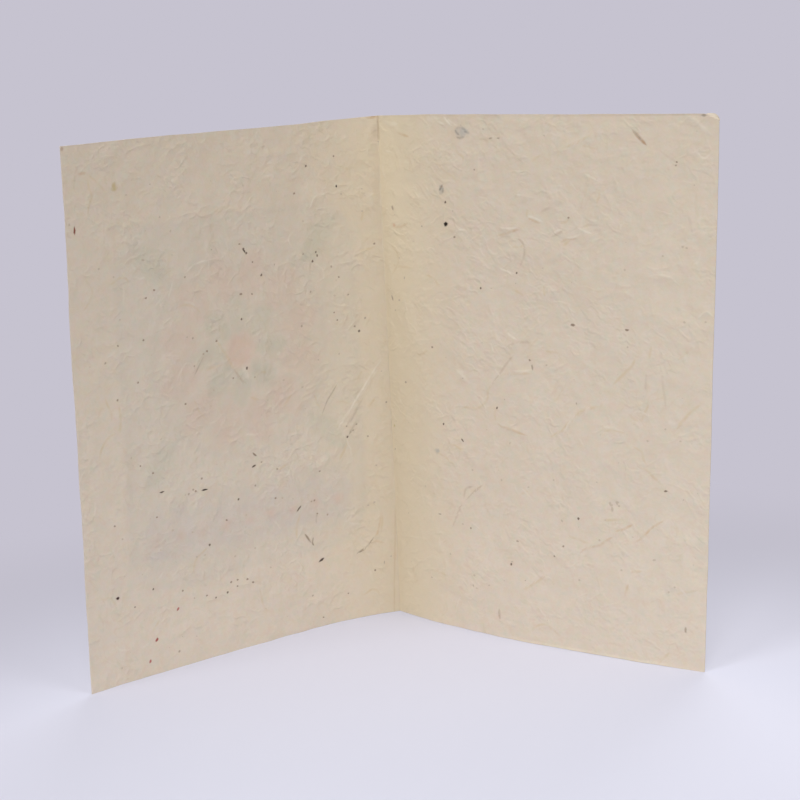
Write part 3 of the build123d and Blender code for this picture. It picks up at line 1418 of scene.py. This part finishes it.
@dataclass(frozen=True)
class TurnedTip:
    """The tip of the blunted corner, which is bent back along the corner's cut and catches the light."""

    sheet: PaperSheet
    bend: float = 58.0  # degrees that it leans back from the leaf
    first_reach: float = 0.35  # how far it goes while it is only half bent
    reaches: tuple[float, ...] = (0.05, 0.9, 1.6, 2.0, 1.8, 1.2, 0.5)  # at even steps down the cut
    overlap: float = 0.12  # how far it goes into the leaf
    steps: int = 13
    edge_band_drop: float = 3.0  # its pulp is taken from this far below the darker band along the top edge

    def build(self) -> bpy.types.Object:
        """Makes the tip, a small closed flap along the cut.

        Returns:
            The object.
        """
        form, edges = self.sheet.form, self.sheet.edges
        run = np.array([edges.blunt_along_top, -edges.blunt_down_edge])
        share = np.linspace(0, 1, self.steps)
        start = np.array([form.leaf_width - edges.blunt_along_top, form.leaf_height])
        spots = start + share[:, None] * run
        reach = np.interp(share, np.linspace(0, 1, len(self.reaches)), self.reaches)[:, None]
        outwards = unit(np.array([-run[1], run[0]]))
        middle, inwards = self.sheet.on_face(spots[:, 0], spots[:, 1], Face.INSIDE)
        middle = middle - inwards * form.thickness / 2
        above = np.array([0.0, 0.0, 1.0])
        ahead = np.cross(above, inwards) * outwards[0] + above * outwards[1]
        near = np.minimum(reach, self.first_reach)
        half_bend = self.bend / 2
        turns = ((0.0, -self.overlap), (half_bend, 0.0), (half_bend, near), (self.bend, reach - near))
        rings = []
        for bend, step in turns:
            cos, sin = math.cos(math.radians(bend)), math.sin(math.radians(bend))
            middle = middle + (ahead * cos - inwards * sin) * step
            face = (inwards * cos + ahead * sin) * form.thickness / 2
            rings = [middle - face, *rings, middle + face]
        places = np.column_stack([spots[:, 0], spots[:, 1] - self.edge_band_drop, np.ones(self.steps)])
        places = np.tile(places, (len(rings), 1))
        draft = MeshDraft()
        points = np.concatenate(rings)
        tints = np.zeros((len(points), 4))
        draft.add(points, np.zeros_like(points), places, tints, *tube(len(rings), self.steps))
        made = draft.build("turned_tip", self.sheet.materials[Face.INSIDE])
        return made


@dataclass(frozen=True)
class Strand:
    """A bast fibre that lies in the paper's face; the pale ones also paint the highlight along crinkles'
    ridges.
    """

    places: Array
    width: float
    rise: float
    tint: Colour
    cover: float  # how much of the paper's colour it hides


@dataclass(frozen=True)
class StrandLayer:
    """A piece of many strands in one face, each a thin closed strip whose colour fades out at its edges."""

    name: str
    sheet: PaperSheet
    face: Face
    step: float = 0.7
    sunk: float = 0.05
    skin: float = 0.004  # how high the strip's edges lie
    bluntness: float = 1.4  # the more it is, the shorter the thin ends are
    thinnest: float = 0.1
    end_power: float = 0.7
    colour_bluntness: float = 1.8
    sections: tuple[tuple[float, float, float, float], ...] = (
        (-1.0, 0.0, 0.0, 0.0), (-0.5, 0.75, 1.0, 0.6), (0.0, 1.0, 0.0, 1.0), (0.5, 0.75, -1.0, 0.6),
        (1.0, 0.0, 0.0, 0.0), (0.0, 0.0, 0.0, 0.0),
    )  # each one's place across the strip, and its share of the rise, of the slope and of the colour

    def smooth(self, places: Array) -> Array:
        """Rounds a path's corners and divides it into even steps.

        Args:
            places: A few places along the strand.

        Returns:
            The places of its sections.
        """
        padded = np.concatenate([2 * places[:1] - places[1:2], places, 2 * places[-1:] - places[-2:-1]])
        pieces = []
        for before, start, end, after in zip(padded, padded[1:], padded[2:], padded[3:]):
            count = max(2, int(np.linalg.norm(end - start) / self.step))
            t = (np.arange(count) / count)[:, None]
            bend = (2 * before - 5 * start + 4 * end - after) * t ** 2
            curl = (3 * start - before - 3 * end + after) * t ** 3
            pieces.append((2 * start + (end - before) * t + bend + curl) / 2)
        return np.concatenate(pieces + [places[-1:]])

    def add(self, draft: MeshDraft, strand: Strand) -> None:
        """Adds one strand to the piece's mesh.

        Args:
            draft: The mesh.
            strand: The strand.
        """
        path = self.smooth(strand.places)
        ahead = unit(np.gradient(path, axis=0))
        beside = stacked(-ahead[:, 1], ahead[:, 0])
        bulge = np.sin(math.pi * np.linspace(0, 1, len(path)))
        taper = np.clip(bulge * self.bluntness, self.thinnest, 1) ** self.end_power
        last = len(self.sections) - 1
        lines = []
        for number, (offset, lift, slope, cover) in enumerate(self.sections):
            spot = path + beside * (offset * strand.width / 2 * taper)[:, None]
            on_paper, normal = self.sheet.on_face(spot[:, 0], spot[:, 1], self.face)
            rise = self.skin + lift * strand.rise * taper
            if number == last:
                rise = np.full_like(taper, -self.sunk)
            level = stacked(normal[:, 1], -normal[:, 0], 0.0) * -self.face.value
            sideways = level * beside[:, :1] + np.array([0.0, 0.0, 1.0]) * beside[:, 1:]
            tilt = -slope * 2 * strand.rise / strand.width
            share = strand.cover * cover * np.clip(bulge * self.colour_bluntness, 0, 1)
            lines.append((
                on_paper + normal * rise[:, None],
                normal + sideways * tilt,
                stacked(*spot.T, self.face.value),
                stacked(*strand.tint, share),
            ))
        faces, flat = self.face.facing(*tube(len(self.sections), len(path)))
        draft.add(*(np.concatenate(part) for part in zip(*lines)), faces, flat)

    def build(self, strands: list[Strand]) -> bpy.types.Object:
        """Makes the piece.

        Args:
            strands: The strands.

        Returns:
            The object.
        """
        draft = MeshDraft(math.ceil(math.sqrt(len(strands))))
        for strand in strands:
            self.add(draft, strand)
        made = draft.build(self.name, self.sheet.materials[self.face])
        return made


@dataclass(frozen=True)
class StrandGroup:
    """Strands of one width and colour, along the pixels where the photograph shows them."""

    tint: Colour
    cover: float
    width: float
    rise: float
    paths: tuple[Path, ...]


@dataclass(frozen=True)
class StrandScatter:
    """A seeded scatter of faint strands."""

    seed: Seed
    count: int
    lengths: tuple[float, float]
    width: float
    rise: float
    tint: Colour
    cover: float
    bend: float = 0.42  # radians, how much each step turns
    steps: int = 4
    margin: float = 3.0  # how far they stay from the cut edges
    fold_gap: float = 1.5

    def strands(self, form: SheetForm, face: Face) -> list[Strand]:
        """Draws curved paths inside the sheet.

        Args:
            form: The sheet.
            face: The face they are on, which only changes the draws.

        Returns:
            The strands.
        """
        draw = np.random.default_rng(self.seed + face.value)
        width, height = form.leaf_width, form.leaf_height
        made = []
        while len(made) < self.count:
            length = draw.uniform(*self.lengths)
            headings = draw.uniform(0, math.pi) + np.cumsum(draw.normal(0, self.bend, self.steps))
            path = walked(draw.uniform((-width, 0.0), (width, height)), headings, length / self.steps)
            across, up = path.T
            inside = (np.abs(across) < width - self.margin) & (np.abs(across) > self.fold_gap)
            inside &= (up > self.margin) & (up < height - self.margin)
            if inside.all() and (np.sign(across) == np.sign(across[0])).all():
                made.append(Strand(path, self.width, self.rise, self.tint, self.cover))
        return made


@dataclass(frozen=True)
class FibreLines:
    """The strands of the card: those that the photograph shows, and a seeded scatter of fainter ones."""

    form: SheetForm
    view: PhotoView
    # partly pale fibre, partly painted highlight where the crinkles' ridges catch the light
    pale: Colour = (0.76, 0.70, 0.60)
    ochre: Colour = (0.60, 0.475, 0.295)
    orange: Colour = (0.56, 0.385, 0.21)
    brown: Colour = (0.44, 0.33, 0.235)
    bark: Colour = (0.20, 0.14, 0.085)
    soot: Colour = (0.17, 0.16, 0.145)
    seen: tuple[StrandGroup, ...] = (
        # pale strips along the seen crinkles' ridges: painted highlight, partly pale fibre
        StrandGroup(pale, 0.45, 1.1, 0.05, (
            ((527, 215.5), (535, 218), (544, 222.5)), ((498, 226), (506, 228.5), (518, 227.5)),
            ((507, 331), (511, 336), (518, 340)), ((552, 234), (557, 231), (563, 229)),
            ((577, 227), (584, 231), (593, 234)), ((566, 238), (574, 237), (584, 233)),
            ((499, 268), (508, 272), (515, 274)), ((443, 116), (447, 121), (453, 127)),
            ((395, 224), (401, 224)),
            ((386, 354), (378, 364), (369, 378), (361, 391), (353, 404), (345, 419)),
        )),
        StrandGroup(pale, 0.3, 1.1, 0.04, (
            ((584, 173), (593, 178), (600, 182)), ((515, 194), (535, 198)),
            ((646, 266), (656, 269), (669, 267)), ((646, 277), (658, 275), (670, 277), (682, 287)),
            ((697, 319), (706, 312), (715, 317)), ((183, 274), (195, 264), (219, 257)),
            ((307, 211), (314, 197), (328, 192)), ((697, 152), (703, 158), (708, 156), (713, 152)),
            ((602, 427), (613, 428), (626, 432)), ((510, 371), (522, 371), (534, 370)),
            ((447, 118), (452, 123), (458, 126)), ((381, 363), (373, 376), (364, 390), (356, 403)),
            ((430, 117), (437, 121), (446, 125)),
        )),
        StrandGroup(pale, 0.3, 2.3, 0.05, (
            ((687, 115), (696, 121), (703, 128), (712, 135)), ((455, 369), (463, 375), (470, 384)),
            ((242, 366), (245, 373), (248, 380)), ((668, 420), (673, 423), (679, 423)),
            ((456, 361), (460, 368), (465, 374)), ((384, 121), (390, 124), (399, 124)),
            ((425, 117), (432, 119), (440, 118)),
        )),
        StrandGroup(ochre, 0.45, 1.6, 0.02, (
            ((546, 441), (554, 435), (564, 429), (578, 414), (592, 408), (608, 405)),
            ((611, 387), (618, 380), (625, 373), (632, 366), (637, 356)),
            ((674, 433), (681, 424), (690, 413), (704, 402)), ((548, 574), (538, 581), (521, 591)),
            ((118, 404), (119.5, 417), (119.5, 435)), ((349, 438), (344, 449), (338, 461)),
            ((214, 338), (220, 347), (226, 357), (232, 367), (237, 373)),
        )),
        StrandGroup(ochre, 0.4, 1.3, 0.02, (
            ((457, 411), (466, 407), (478, 408), (487, 400), (488, 391), (492, 385), (498, 378)),
            ((497, 378), (506, 374), (518, 374), (535, 373)), ((528, 208), (527.5, 213), (527.5, 219)),
            ((560, 223), (566, 222), (570, 218)), ((562, 247), (567, 243), (572, 237)),
            ((497, 407), (495, 414), (496, 422)), ((545, 351), (560, 353)),
            ((544, 284), (544, 290), (545, 297)), ((513, 289), (525, 296)),
            ((561, 149), (578, 142), (593, 134)), ((602, 431), (617, 430), (627, 434)),
            ((650, 359), (652, 345)), ((678, 360), (688, 352), (695, 345)),
            ((641, 423), (646, 411), (650, 403)), ((673, 594), (699, 590)), ((521, 494), (529, 491)),
            ((658, 664), (670, 652)), ((358, 251), (368, 249), (376, 246)), ((259, 372), (266, 372)),
            ((249, 397), (259, 400)), ((362, 370), (357, 381)), ((375, 398), (367, 408)),
            ((205, 371), (213, 367), (222, 365)), ((300, 513), (297, 527), (296.5, 543)),
            ((278, 470), (286, 464)), ((193, 579), (196, 560), (210, 545)),
            ((116, 433), (109, 437), (102, 447), (98, 462)), ((601, 520), (611, 520), (626, 519.5)),
            ((382, 514), (381, 535)), ((392, 263), (397, 266), (415, 268)), ((363, 210), (361, 222)),
        )),
        StrandGroup(orange, 0.36, 1.3, 0.02, (
            ((497, 421), (501, 426), (512, 429.5), (518, 432), (530, 436)), ((631, 572), (643, 571)),
            ((614, 532), (624, 529), (634, 524)), ((522, 229), (513, 231), (505, 234), (496, 236)),
            ((528, 218), (534, 220.5), (542, 223.5)), ((78, 173.5), (87, 173)),
            ((633, 544), (643, 537), (651, 529), (660, 523), (670, 518)), ((625, 597), (629, 583)),
            ((397, 132), (403, 134.5), (410, 137)), ((560, 242), (568, 239), (578, 238)),
            ((579, 558), (582, 551), (590, 547), (600, 545), (607, 540), (617, 535)),
            ((392, 226), (399, 227), (409, 223)), ((381, 515), (379, 525), (377, 533), (373, 538)),
            ((370, 541), (378, 541), (385, 543)),
        )),
        StrandGroup(brown, 0.4, 1.2, 0.02, (
            ((515, 238), (521, 240), (525, 247), (524, 258), (518, 270)),
            ((452, 528), (459, 511), (464, 501)), ((464, 501), (473, 493), (484, 484)),
            ((464, 500), (466, 489), (474, 486)), ((516, 353), (508, 362), (500, 374), (490, 388)),
            ((551, 237), (558, 234), (564, 230)), ((500, 607), (501, 620)),
            ((364, 396), (358, 406), (351, 417), (344, 428)),
            ((231, 366), (237, 374.5), (241, 380), (247, 384.5)),
        )),
        StrandGroup(brown, 0.22, 1.3, 0.01, (
            ((505, 347), (513, 344), (521, 342), (535, 343)), ((660, 150), (669, 157), (679, 164)),
            ((646, 392), (647, 372)), ((661, 364), (665, 395), (667, 411)),
            ((435, 121), (441, 124), (447, 129)), ((190, 376), (196, 364), (206, 350)),
            ((498, 239), (504, 236), (512, 237)), ((580, 228), (589, 225), (602, 225)),
            ((539, 214), (547, 209), (558, 207)),
        )),
        StrandGroup(bark, 0.32, 1.2, 0.02, (
            ((357, 420), (352, 428), (348, 435)), ((361, 402), (355, 412), (349, 423)),
            ((316.5, 513), (316, 524)), ((241.5, 183), (243.5, 188)),
        )),
        StrandGroup(bark, 0.3, 0.8, 0.02, (
            ((339, 381), (333, 391), (327, 401), (321, 416)), ((206, 350), (200, 361), (193, 377)),
        )),
        StrandGroup(bark, 0.6, 1.2, 0.02, (
            ((374, 536), (371, 541), (366, 547), (361, 550.5), (355, 554)),
        )),
        StrandGroup(soot, 0.6, 1.25, 0.02, (
            ((455, 128.5), (456.5, 132), (460.5, 136)), ((443.3, 183.8), (441.7, 187.5), (439, 191)),
        )),
        StrandGroup(soot, 0.42, 1.3, 0.02, (
            ((456, 136.5), (460, 138), (465.5, 136.5)), ((463.5, 130.5), (467, 132), (470.5, 133.5)),
            ((455.5, 128.5), (461, 127.5), (467, 130.5)), ((443.6, 186.5), (444, 190), (442.3, 193.5)),
        )),
        StrandGroup(soot, 0.3, 1.1, 0.02, (((461, 123.5), (461, 127.5)),)),
        StrandGroup(bark, 0.75, 1.1, 0.02, (
            ((304, 533), (307, 537), (311.5, 543.5)), ((313.5, 536.5), (312, 542.5), (314, 546)),
        )),
        StrandGroup((0.42, 0.26, 0.15), 0.9, 1.45, 0.04, (((631.5, 128), (639.3, 137.3), (647.5, 146)),)),
        StrandGroup((0.15, 0.09, 0.05), 0.5, 0.9, 0.05, (((632, 128.5), (638, 135.5), (645, 143.5)),)),
    )
    scattered: tuple[StrandScatter, ...] = (
        # pale strands: partly pale fibre, partly painted highlight
        StrandScatter(Seed.PALE_STRANDS, 70, (3.0, 10.0), 1.1, 0.05, pale, 0.2),
        StrandScatter(Seed.OCHRE_STRANDS, 34, (4.0, 14.0), 1.2, 0.02, ochre, 0.35),
    )

    def strands(self, face: Face) -> list[Strand]:
        """Lists the strands in one face.

        Args:
            face: The face.

        Returns:
            The strands.
        """
        made = []
        for group in self.seen if face is Face.INSIDE else ():
            for pixels in group.paths:
                path = self.view.places_of(self.form, pixels)
                made.append(Strand(path, group.width, group.rise, group.tint, group.cover))
        for scatter in self.scattered:
            made += scatter.strands(self.form, face)
        return made


@dataclass(frozen=True)
class FleckGroup:
    """Bark flecks of about one size and colour, at the pixels where the photograph shows them."""

    tint: Colour
    length: float
    width: float
    turn: float  # degrees from level
    pixels: Path


@dataclass(frozen=True)
class Fleck:
    """One bark fleck: its place, its size, its turn from level in radians, and its colour."""

    place: Array
    length: float
    width: float
    turn: float
    tint: Colour


@dataclass(frozen=True)
class BarkFlecks:
    """A piece of small flakes of bark, which lie in one face of the paper."""

    name: str
    sheet: PaperSheet
    view: PhotoView
    face: Face
    rise: float = 0.09
    core_rise: float = 0.7  # how high the dark part's rim lies, as a share of the rise
    sunk: float = 0.06
    skin: float = 0.004
    corner_count: int = 9
    raggedness: float = 0.22
    spread: float = 0.55  # half its size, and a little for what its corners lose
    core: float = 0.55  # how much of a fleck's width is fully dark
    map_radius: float = 0.48
    seen_sizes: tuple[float, float] = (0.9, 1.1)
    seen_turn: float = 0.2  # radians that those in the photograph are turned off by at most
    scatter_count: int = 170
    scatter_low: Pixel = (-123.0, 3.0)  # the scattered ones lie between these two places
    scatter_high: Pixel = (123.0, 174.0)
    scatter_sizes: tuple[float, float] = (0.25, 0.5)  # the smallest, and what the largest has on top
    scatter_lengths: tuple[float, float] = (1.0, 2.0)
    scatter_shades: tuple[float, float] = (0.85, 1.15)
    black: Colour = (0.02, 0.014, 0.011)
    dark: Colour = (0.19, 0.145, 0.11)
    umber: Colour = (0.36, 0.28, 0.215)
    tan: Colour = (0.44, 0.36, 0.28)
    faint: Colour = (0.54, 0.455, 0.355)
    red: Colour = (0.43, 0.15, 0.13)
    seen: tuple[FleckGroup, ...] = (
        FleckGroup(black, 1.9, 1.78, 20.0, ((446.3, 223.8),)),
        FleckGroup(dark, 1.05, 0.88, 60.0, (
            (446, 202), (517, 273), (481, 288), (578.6, 518.5), (444, 424), (497, 408), (512, 564),
            (305, 166), (243, 249), (246, 253), (261, 275), (315.2, 252), (316.5, 255.3), (312, 261.3),
            (246, 368), (359, 331), (153, 589), (238, 499), (346.7, 436.7), (209.3, 544.6), (241, 319),
            (216, 597.5), (227.5, 592.2),
        )),
        FleckGroup((0.10, 0.075, 0.06), 1.35, 0.8, -75.0, ((336, 186),)),
        FleckGroup(umber, 0.95, 0.8, 0.0, (
            (442, 186.5), (455, 237), (569, 217.5), (530, 360), (433, 347), (471, 528), (374, 243.5),
            (564, 546), (555, 556), (333, 156), (239, 244), (252, 262), (240, 294), (252, 294),
            (338.7, 277), (145, 298), (153, 290), (185, 404), (140, 466), (152, 473), (195, 491),
            (226, 520), (319, 471), (156, 517), (135, 607), (375, 570), (207, 595.5), (183, 590.8),
            (247, 579), (354.8, 326.4), (117, 400), (237.2, 586), (231, 582), (237.4, 579.7), (252.6, 582),
            (323, 617), (348, 593), (118, 346), (206, 351), (142.6, 340), (293.2, 193.4), (334, 312.4),
            (241, 294), (337.3, 320), (114, 526), (137.6, 382.5), (201, 478.5), (314, 500.2), (275, 498),
            (317, 513.4), (677, 162), (232.6, 378), (216, 341),
        )),
        FleckGroup(tan, 0.95, 0.82, 30.0, (
            (406.5, 382), (475, 169.5), (331, 266.5), (105.3, 363.3), (310.3, 291.8), (301.5, 326),
            (348, 294.5), (184, 277), (367.5, 436), (255, 485.5), (254, 377), (386, 402), (179, 651),
            (676, 165.3), (346, 426), (356, 424), (352.5, 430), (327.3, 514.3), (302.5, 254), (192, 338),
            (277, 469), (188, 494), (365, 318), (312, 595.3), (192.5, 489.5), (261.5, 462), (311, 501.3),
            (202.5, 354), (193.5, 366),
        )),
        FleckGroup(faint, 0.95, 0.8, 0.0, (
            (706, 322), (473, 470), (396, 310), (400, 300), (612, 505), (648, 441), (681, 441), (685, 322),
            (502, 480), (529, 487), (554, 480), (463, 524), (490, 585), (475, 575), (625, 270), (683, 247),
            (687, 248), (663, 256), (580, 580), (622, 570), (654, 560), (669, 592), (675, 587), (628, 347),
            (240, 244), (170, 231), (159, 217), (341, 194), (362, 211), (98, 269), (113, 277), (126, 195),
            (186, 337), (213, 390), (232, 378), (283, 380), (302, 387), (131, 458), (282, 498), (172, 530),
            (192, 532), (246, 515), (122, 539), (160, 550), (235, 556), (255, 548), (270, 567), (122, 668),
            (68.5, 225), (334.4, 295.5), (302, 221), (376, 465), (368, 505), (205, 555), (600, 540),
            (655, 560), (378.3, 141.5), (374, 502), (618, 502), (619, 506), (547, 365), (666, 429),
            (391, 556),
        )),
        FleckGroup(tan, 1.7, 0.65, 4.0, ((491, 138), (499, 138))),
        FleckGroup((0.30, 0.23, 0.17), 1.9, 0.95, 4.0, ((573, 325), (627, 330))),
        FleckGroup((0.27, 0.20, 0.15), 1.6, 0.8, 4.0, ((666, 491),)),
        FleckGroup(dark, 1.6, 0.6, -52.0, ((463, 440),)),
        FleckGroup(tan, 2.3, 1.05, -82.0, ((686, 630), (393, 208), (393, 298), (532.5, 367))),
        FleckGroup(faint, 1.8, 0.9, -70.0, ((617, 503), (500, 612), (610.5, 504), (612.5, 509))),
        FleckGroup(tan, 1.5, 0.7, 5.0, ((518, 541), (440, 514))),
        FleckGroup((0.05, 0.035, 0.03), 2.9, 0.65, 12.0, ((204, 489.5),)),
        FleckGroup((0.12, 0.09, 0.07), 2.0, 0.65, 12.0, ((161, 492), (254, 466))),
        FleckGroup((0.09, 0.065, 0.05), 2.5, 0.92, 14.0, ((321, 559.7),)),
        FleckGroup(dark, 2.8, 0.75, 54.0, ((298.5, 508.7),)),
        FleckGroup((0.13, 0.10, 0.075), 2.6, 0.85, -50.0, ((243.5, 250.5),)),
        FleckGroup((0.30, 0.23, 0.175), 2.1, 0.75, -50.0, ((254.5, 454.5),)),
        FleckGroup((0.06, 0.03, 0.025), 1.65, 1.12, 18.0, ((117.6, 598.3),)),
        FleckGroup((0.24, 0.09, 0.06), 2.9, 0.95, 76.0, ((73.6, 230.8),)),
        FleckGroup(red, 1.6, 0.9, 50.0, ((178, 609),)),
        FleckGroup((0.35, 0.10, 0.085), 1.8, 1.0, 50.0, ((156.5, 639.5),)),
        FleckGroup(red, 1.8, 1.05, 80.0, ((150.3, 661),)),
    )

    def flecks(self, draw: np.random.Generator) -> list[Fleck]:
        """Lists the flecks that the photograph shows, and a scatter of fainter ones.

        Args:
            draw: Where what is random comes from.

        Returns:
            The flecks.
        """
        made = []
        for group in self.seen if self.face is Face.INSIDE else ():
            for place in self.view.places_of(self.sheet.form, group.pixels):
                size = draw.uniform(*self.seen_sizes)
                turn = math.radians(group.turn) + draw.uniform(-self.seen_turn, self.seen_turn)
                made.append(Fleck(place, group.length * size, group.width * size, turn, group.tint))
        for _ in range(self.scatter_count):
            place = draw.uniform(self.scatter_low, self.scatter_high)
            size = self.scatter_sizes[0] + self.scatter_sizes[1] * draw.uniform() ** 3
            tint = tuple(draw.uniform(*self.scatter_shades) * np.array(self.faint))
            length = size * draw.uniform(*self.scatter_lengths)
            made.append(Fleck(place, length, size, draw.uniform(0, math.pi), tint))
        return made

    def add(self, draft: MeshDraft, fleck: Fleck, draw: np.random.Generator) -> None:
        """Adds one fleck to the piece's mesh, a flat ragged lens whose colour fades out at its rim.

        Args:
            draft: The mesh.
            fleck: The fleck.
            draw: Where its raggedness comes from.
        """
        count, middle = self.corner_count, np.zeros((2, 2))
        angle = np.arange(count) * 2 * math.pi / count
        ring = stacked(np.cos(angle), np.sin(angle))
        ragged = self.spread * (1 + draw.uniform(-self.raggedness, self.raggedness, count))
        x, y = (ring * ragged[:, None] * (fleck.length, fleck.width)).T
        cos, sin = math.cos(fleck.turn), math.sin(fleck.turn)
        rim = stacked(x * cos - y * sin, x * sin + y * cos)
        spots = fleck.place + np.concatenate([rim, rim * self.core, middle])
        points, normal = self.sheet.on_face(spots[:, 0], spots[:, 1], self.face)
        parts = [count, count, 1, 1]
        lift = np.repeat([self.skin, self.rise * self.core_rise, self.rise, -self.sunk], parts)
        points = points + normal * lift[:, None]
        places = stacked(*spots.T, self.face.value)
        tints = stacked(*fleck.tint, np.repeat([0.0, 1.0, 1.0, 0.0], parts))
        here = np.arange(count)
        there = np.roll(here, -1)
        faces = np.concatenate([
            stacked(here, there, there + count),
            stacked(here, there + count, here + count),
            stacked(here + count, there + count, 2 * count),
            stacked(there, here, 2 * count + 1),
        ])
        flat = (np.concatenate([ring, ring * self.core, middle]) * self.map_radius + 0.5)[faces]
        under = np.arange(len(faces)) >= 3 * count
        flat[:, :, 0] = flat[:, :, 0] / 2 + np.where(under, 0.5, 0.0)[:, None]
        draft.add(points, normal, places, tints, *self.face.facing(faces, flat))

    def build(self) -> bpy.types.Object:
        """Makes the piece.

        Returns:
            The object.
        """
        draw = np.random.default_rng(Seed.FLECKS + self.face.value)
        flecks = self.flecks(draw)
        draft = MeshDraft(math.ceil(math.sqrt(len(flecks))))
        for fleck in flecks:
            self.add(draft, fleck, draw)
        return draft.build(self.name, self.sheet.materials[self.face])


@dataclass(frozen=True)
class Lamp:
    """A soft square lamp, placed in metres."""

    name: str
    position: Point
    watts: float
    size: float = 1.0
    aim: Point = (0.0, -0.04, 0.08)
    tint: Colour = (1.0, 0.985, 0.955)

    def hang(self) -> None:
        """Puts the lamp in the scene."""
        data = bpy.data.lights.new(self.name, "AREA")
        data.shape = "SQUARE"
        data.size = self.size
        data.energy = self.watts
        data.color = self.tint
        lamp = shown(self.name, data)
        lamp.location = self.position
        towards = Vector(self.aim) - Vector(self.position)
        lamp.rotation_euler = towards.to_track_quat("-Z", "Y").to_euler()


@dataclass(frozen=True)
class Studio:
    """A plain pale floor that fades into a plain pale backdrop, under soft light. Its sizes are metres."""

    floor_radius: float = 8.0
    floor_corners: int = 96
    floor_drop: float = 0.00002
    bright_middle: tuple[float, float] = (0.02, -0.14)  # where the floor is seen at its brightest, the middle of its painted pool of light
    fade_start: float = 0.03
    fade_end: float = 0.33
    far_start: float = 0.13
    far_end: float = 0.36
    floor_colour: Colour = (0.745, 0.76, 0.895)
    # painted falloff of light: the floor's colour darkens away from the card
    floor_falloff_colour: Colour = (0.22, 0.22, 0.24)
    backdrop_colour: Colour = (0.565, 0.545, 0.630)
    ambient: Colour = (1.0, 0.99, 0.98)
    ambient_strength: float = 0.43
    lamps: tuple[Lamp, ...] = (
        Lamp("front_box", (-0.12, -1.87, 1.80), 22.8),
        Lamp("left_box", (-1.55, -1.30, 1.70), 16.0),
        Lamp("right_box", (1.55, -1.30, 1.70), 12.0),
        Lamp("back_fill", (0.3, 1.1, 0.9), 7.0, 0.9, (0.0, -0.03, 0.08), (1.0, 0.99, 0.97)),
    )

    def light(self) -> None:
        """Hangs the lamps and sets the world, which the camera sees as the plain backdrop."""
        for lamp in self.lamps:
            lamp.hang()
        kit = NodeKit(bpy.data.worlds.new("studio"))
        background = "ShaderNodeBackground"
        ambient = {"Color": (*self.ambient, 1.0), "Strength": self.ambient_strength}
        glow = kit.node(background, inputs=ambient)
        seen = kit.node(background, inputs={"Color": (*self.backdrop_colour, 1.0)})
        camera = kit.node("ShaderNodeLightPath", output="Is Camera Ray")
        both = kit.node("ShaderNodeMixShader", inputs={0: camera, 1: glow, 2: seen})
        bpy.context.scene.world = kit.finish(both)

    def floor_material(self) -> bpy.types.Material:
        """Builds the floor's finish, which fades into the backdrop away from the card, and whose colour
        darkens away from it as a painted falloff of light.

        Returns:
            The material.
        """
        kit = NodeKit(bpy.data.materials.new("studio_floor"))
        x, y, _ = kit.node("ShaderNodeNewGeometry", output="Position").split()
        distance = (x - self.bright_middle[0]).slant(y - self.bright_middle[1])
        far = distance.rises(self.far_start, self.far_end)
        away = distance.rises(self.fade_start, self.fade_end)
        camera = kit.node("ShaderNodeLightPath", output="Is Camera Ray")
        # painted falloff of light: a darker floor away from the card, so that it throws light back mostly
        # near the card
        surface = kit.layered(self.floor_colour, [(far, self.floor_falloff_colour)])
        matt = kit.node("ShaderNodeBsdfDiffuse", inputs={"Color": surface})
        backdrop = {"Color": (*self.backdrop_colour, 1.0), "Strength": 1.0}
        plain = kit.node("ShaderNodeEmission", inputs=backdrop)
        return kit.finish(kit.node("ShaderNodeMixShader", inputs={0: away * camera, 1: matt, 2: plain}))

    def lay_floor(self) -> bpy.types.Object:
        """Lays the round floor.

        Returns:
            The floor.
        """
        turns = np.linspace(0, 2 * math.pi, self.floor_corners, endpoint=False)
        across, along = np.cos(turns) * self.floor_radius, np.sin(turns) * self.floor_radius
        ring = stacked(across, along, -self.floor_drop)
        mesh = bpy.data.meshes.new("floor")
        mesh.from_pydata(ring.tolist(), [], [list(range(self.floor_corners))])
        mesh.materials.append(self.floor_material())
        floor = shown("floor", mesh)
        return floor


def main() -> None:
    """Builds the card, its paper's fibres and flecks, the studio and the camera."""
    logging.basicConfig(level=logging.INFO, format="%(message)s")
    bpy.context.scene.view_settings.view_transform = "Standard"
    form = SheetForm()
    view = PhotoView()
    finish = PaperFinish(form, view, CoverPrint())
    sheet = PaperSheet(form, HandCutEdges(form), Wrinkles(form, view), finish)
    sheet.build()

    TurnedTip(sheet).build()
    lines = FibreLines(form, view)
    for face in Face:
        side = face.name.lower()
        StrandLayer(f"fibres_{side}", sheet, face).build(lines.strands(face))
        BarkFlecks(f"bark_flecks_{side}", sheet, view, face).build()

    studio = Studio()
    studio.light()
    studio.lay_floor()
    view.place()


if __name__ == "__main__":
    main()
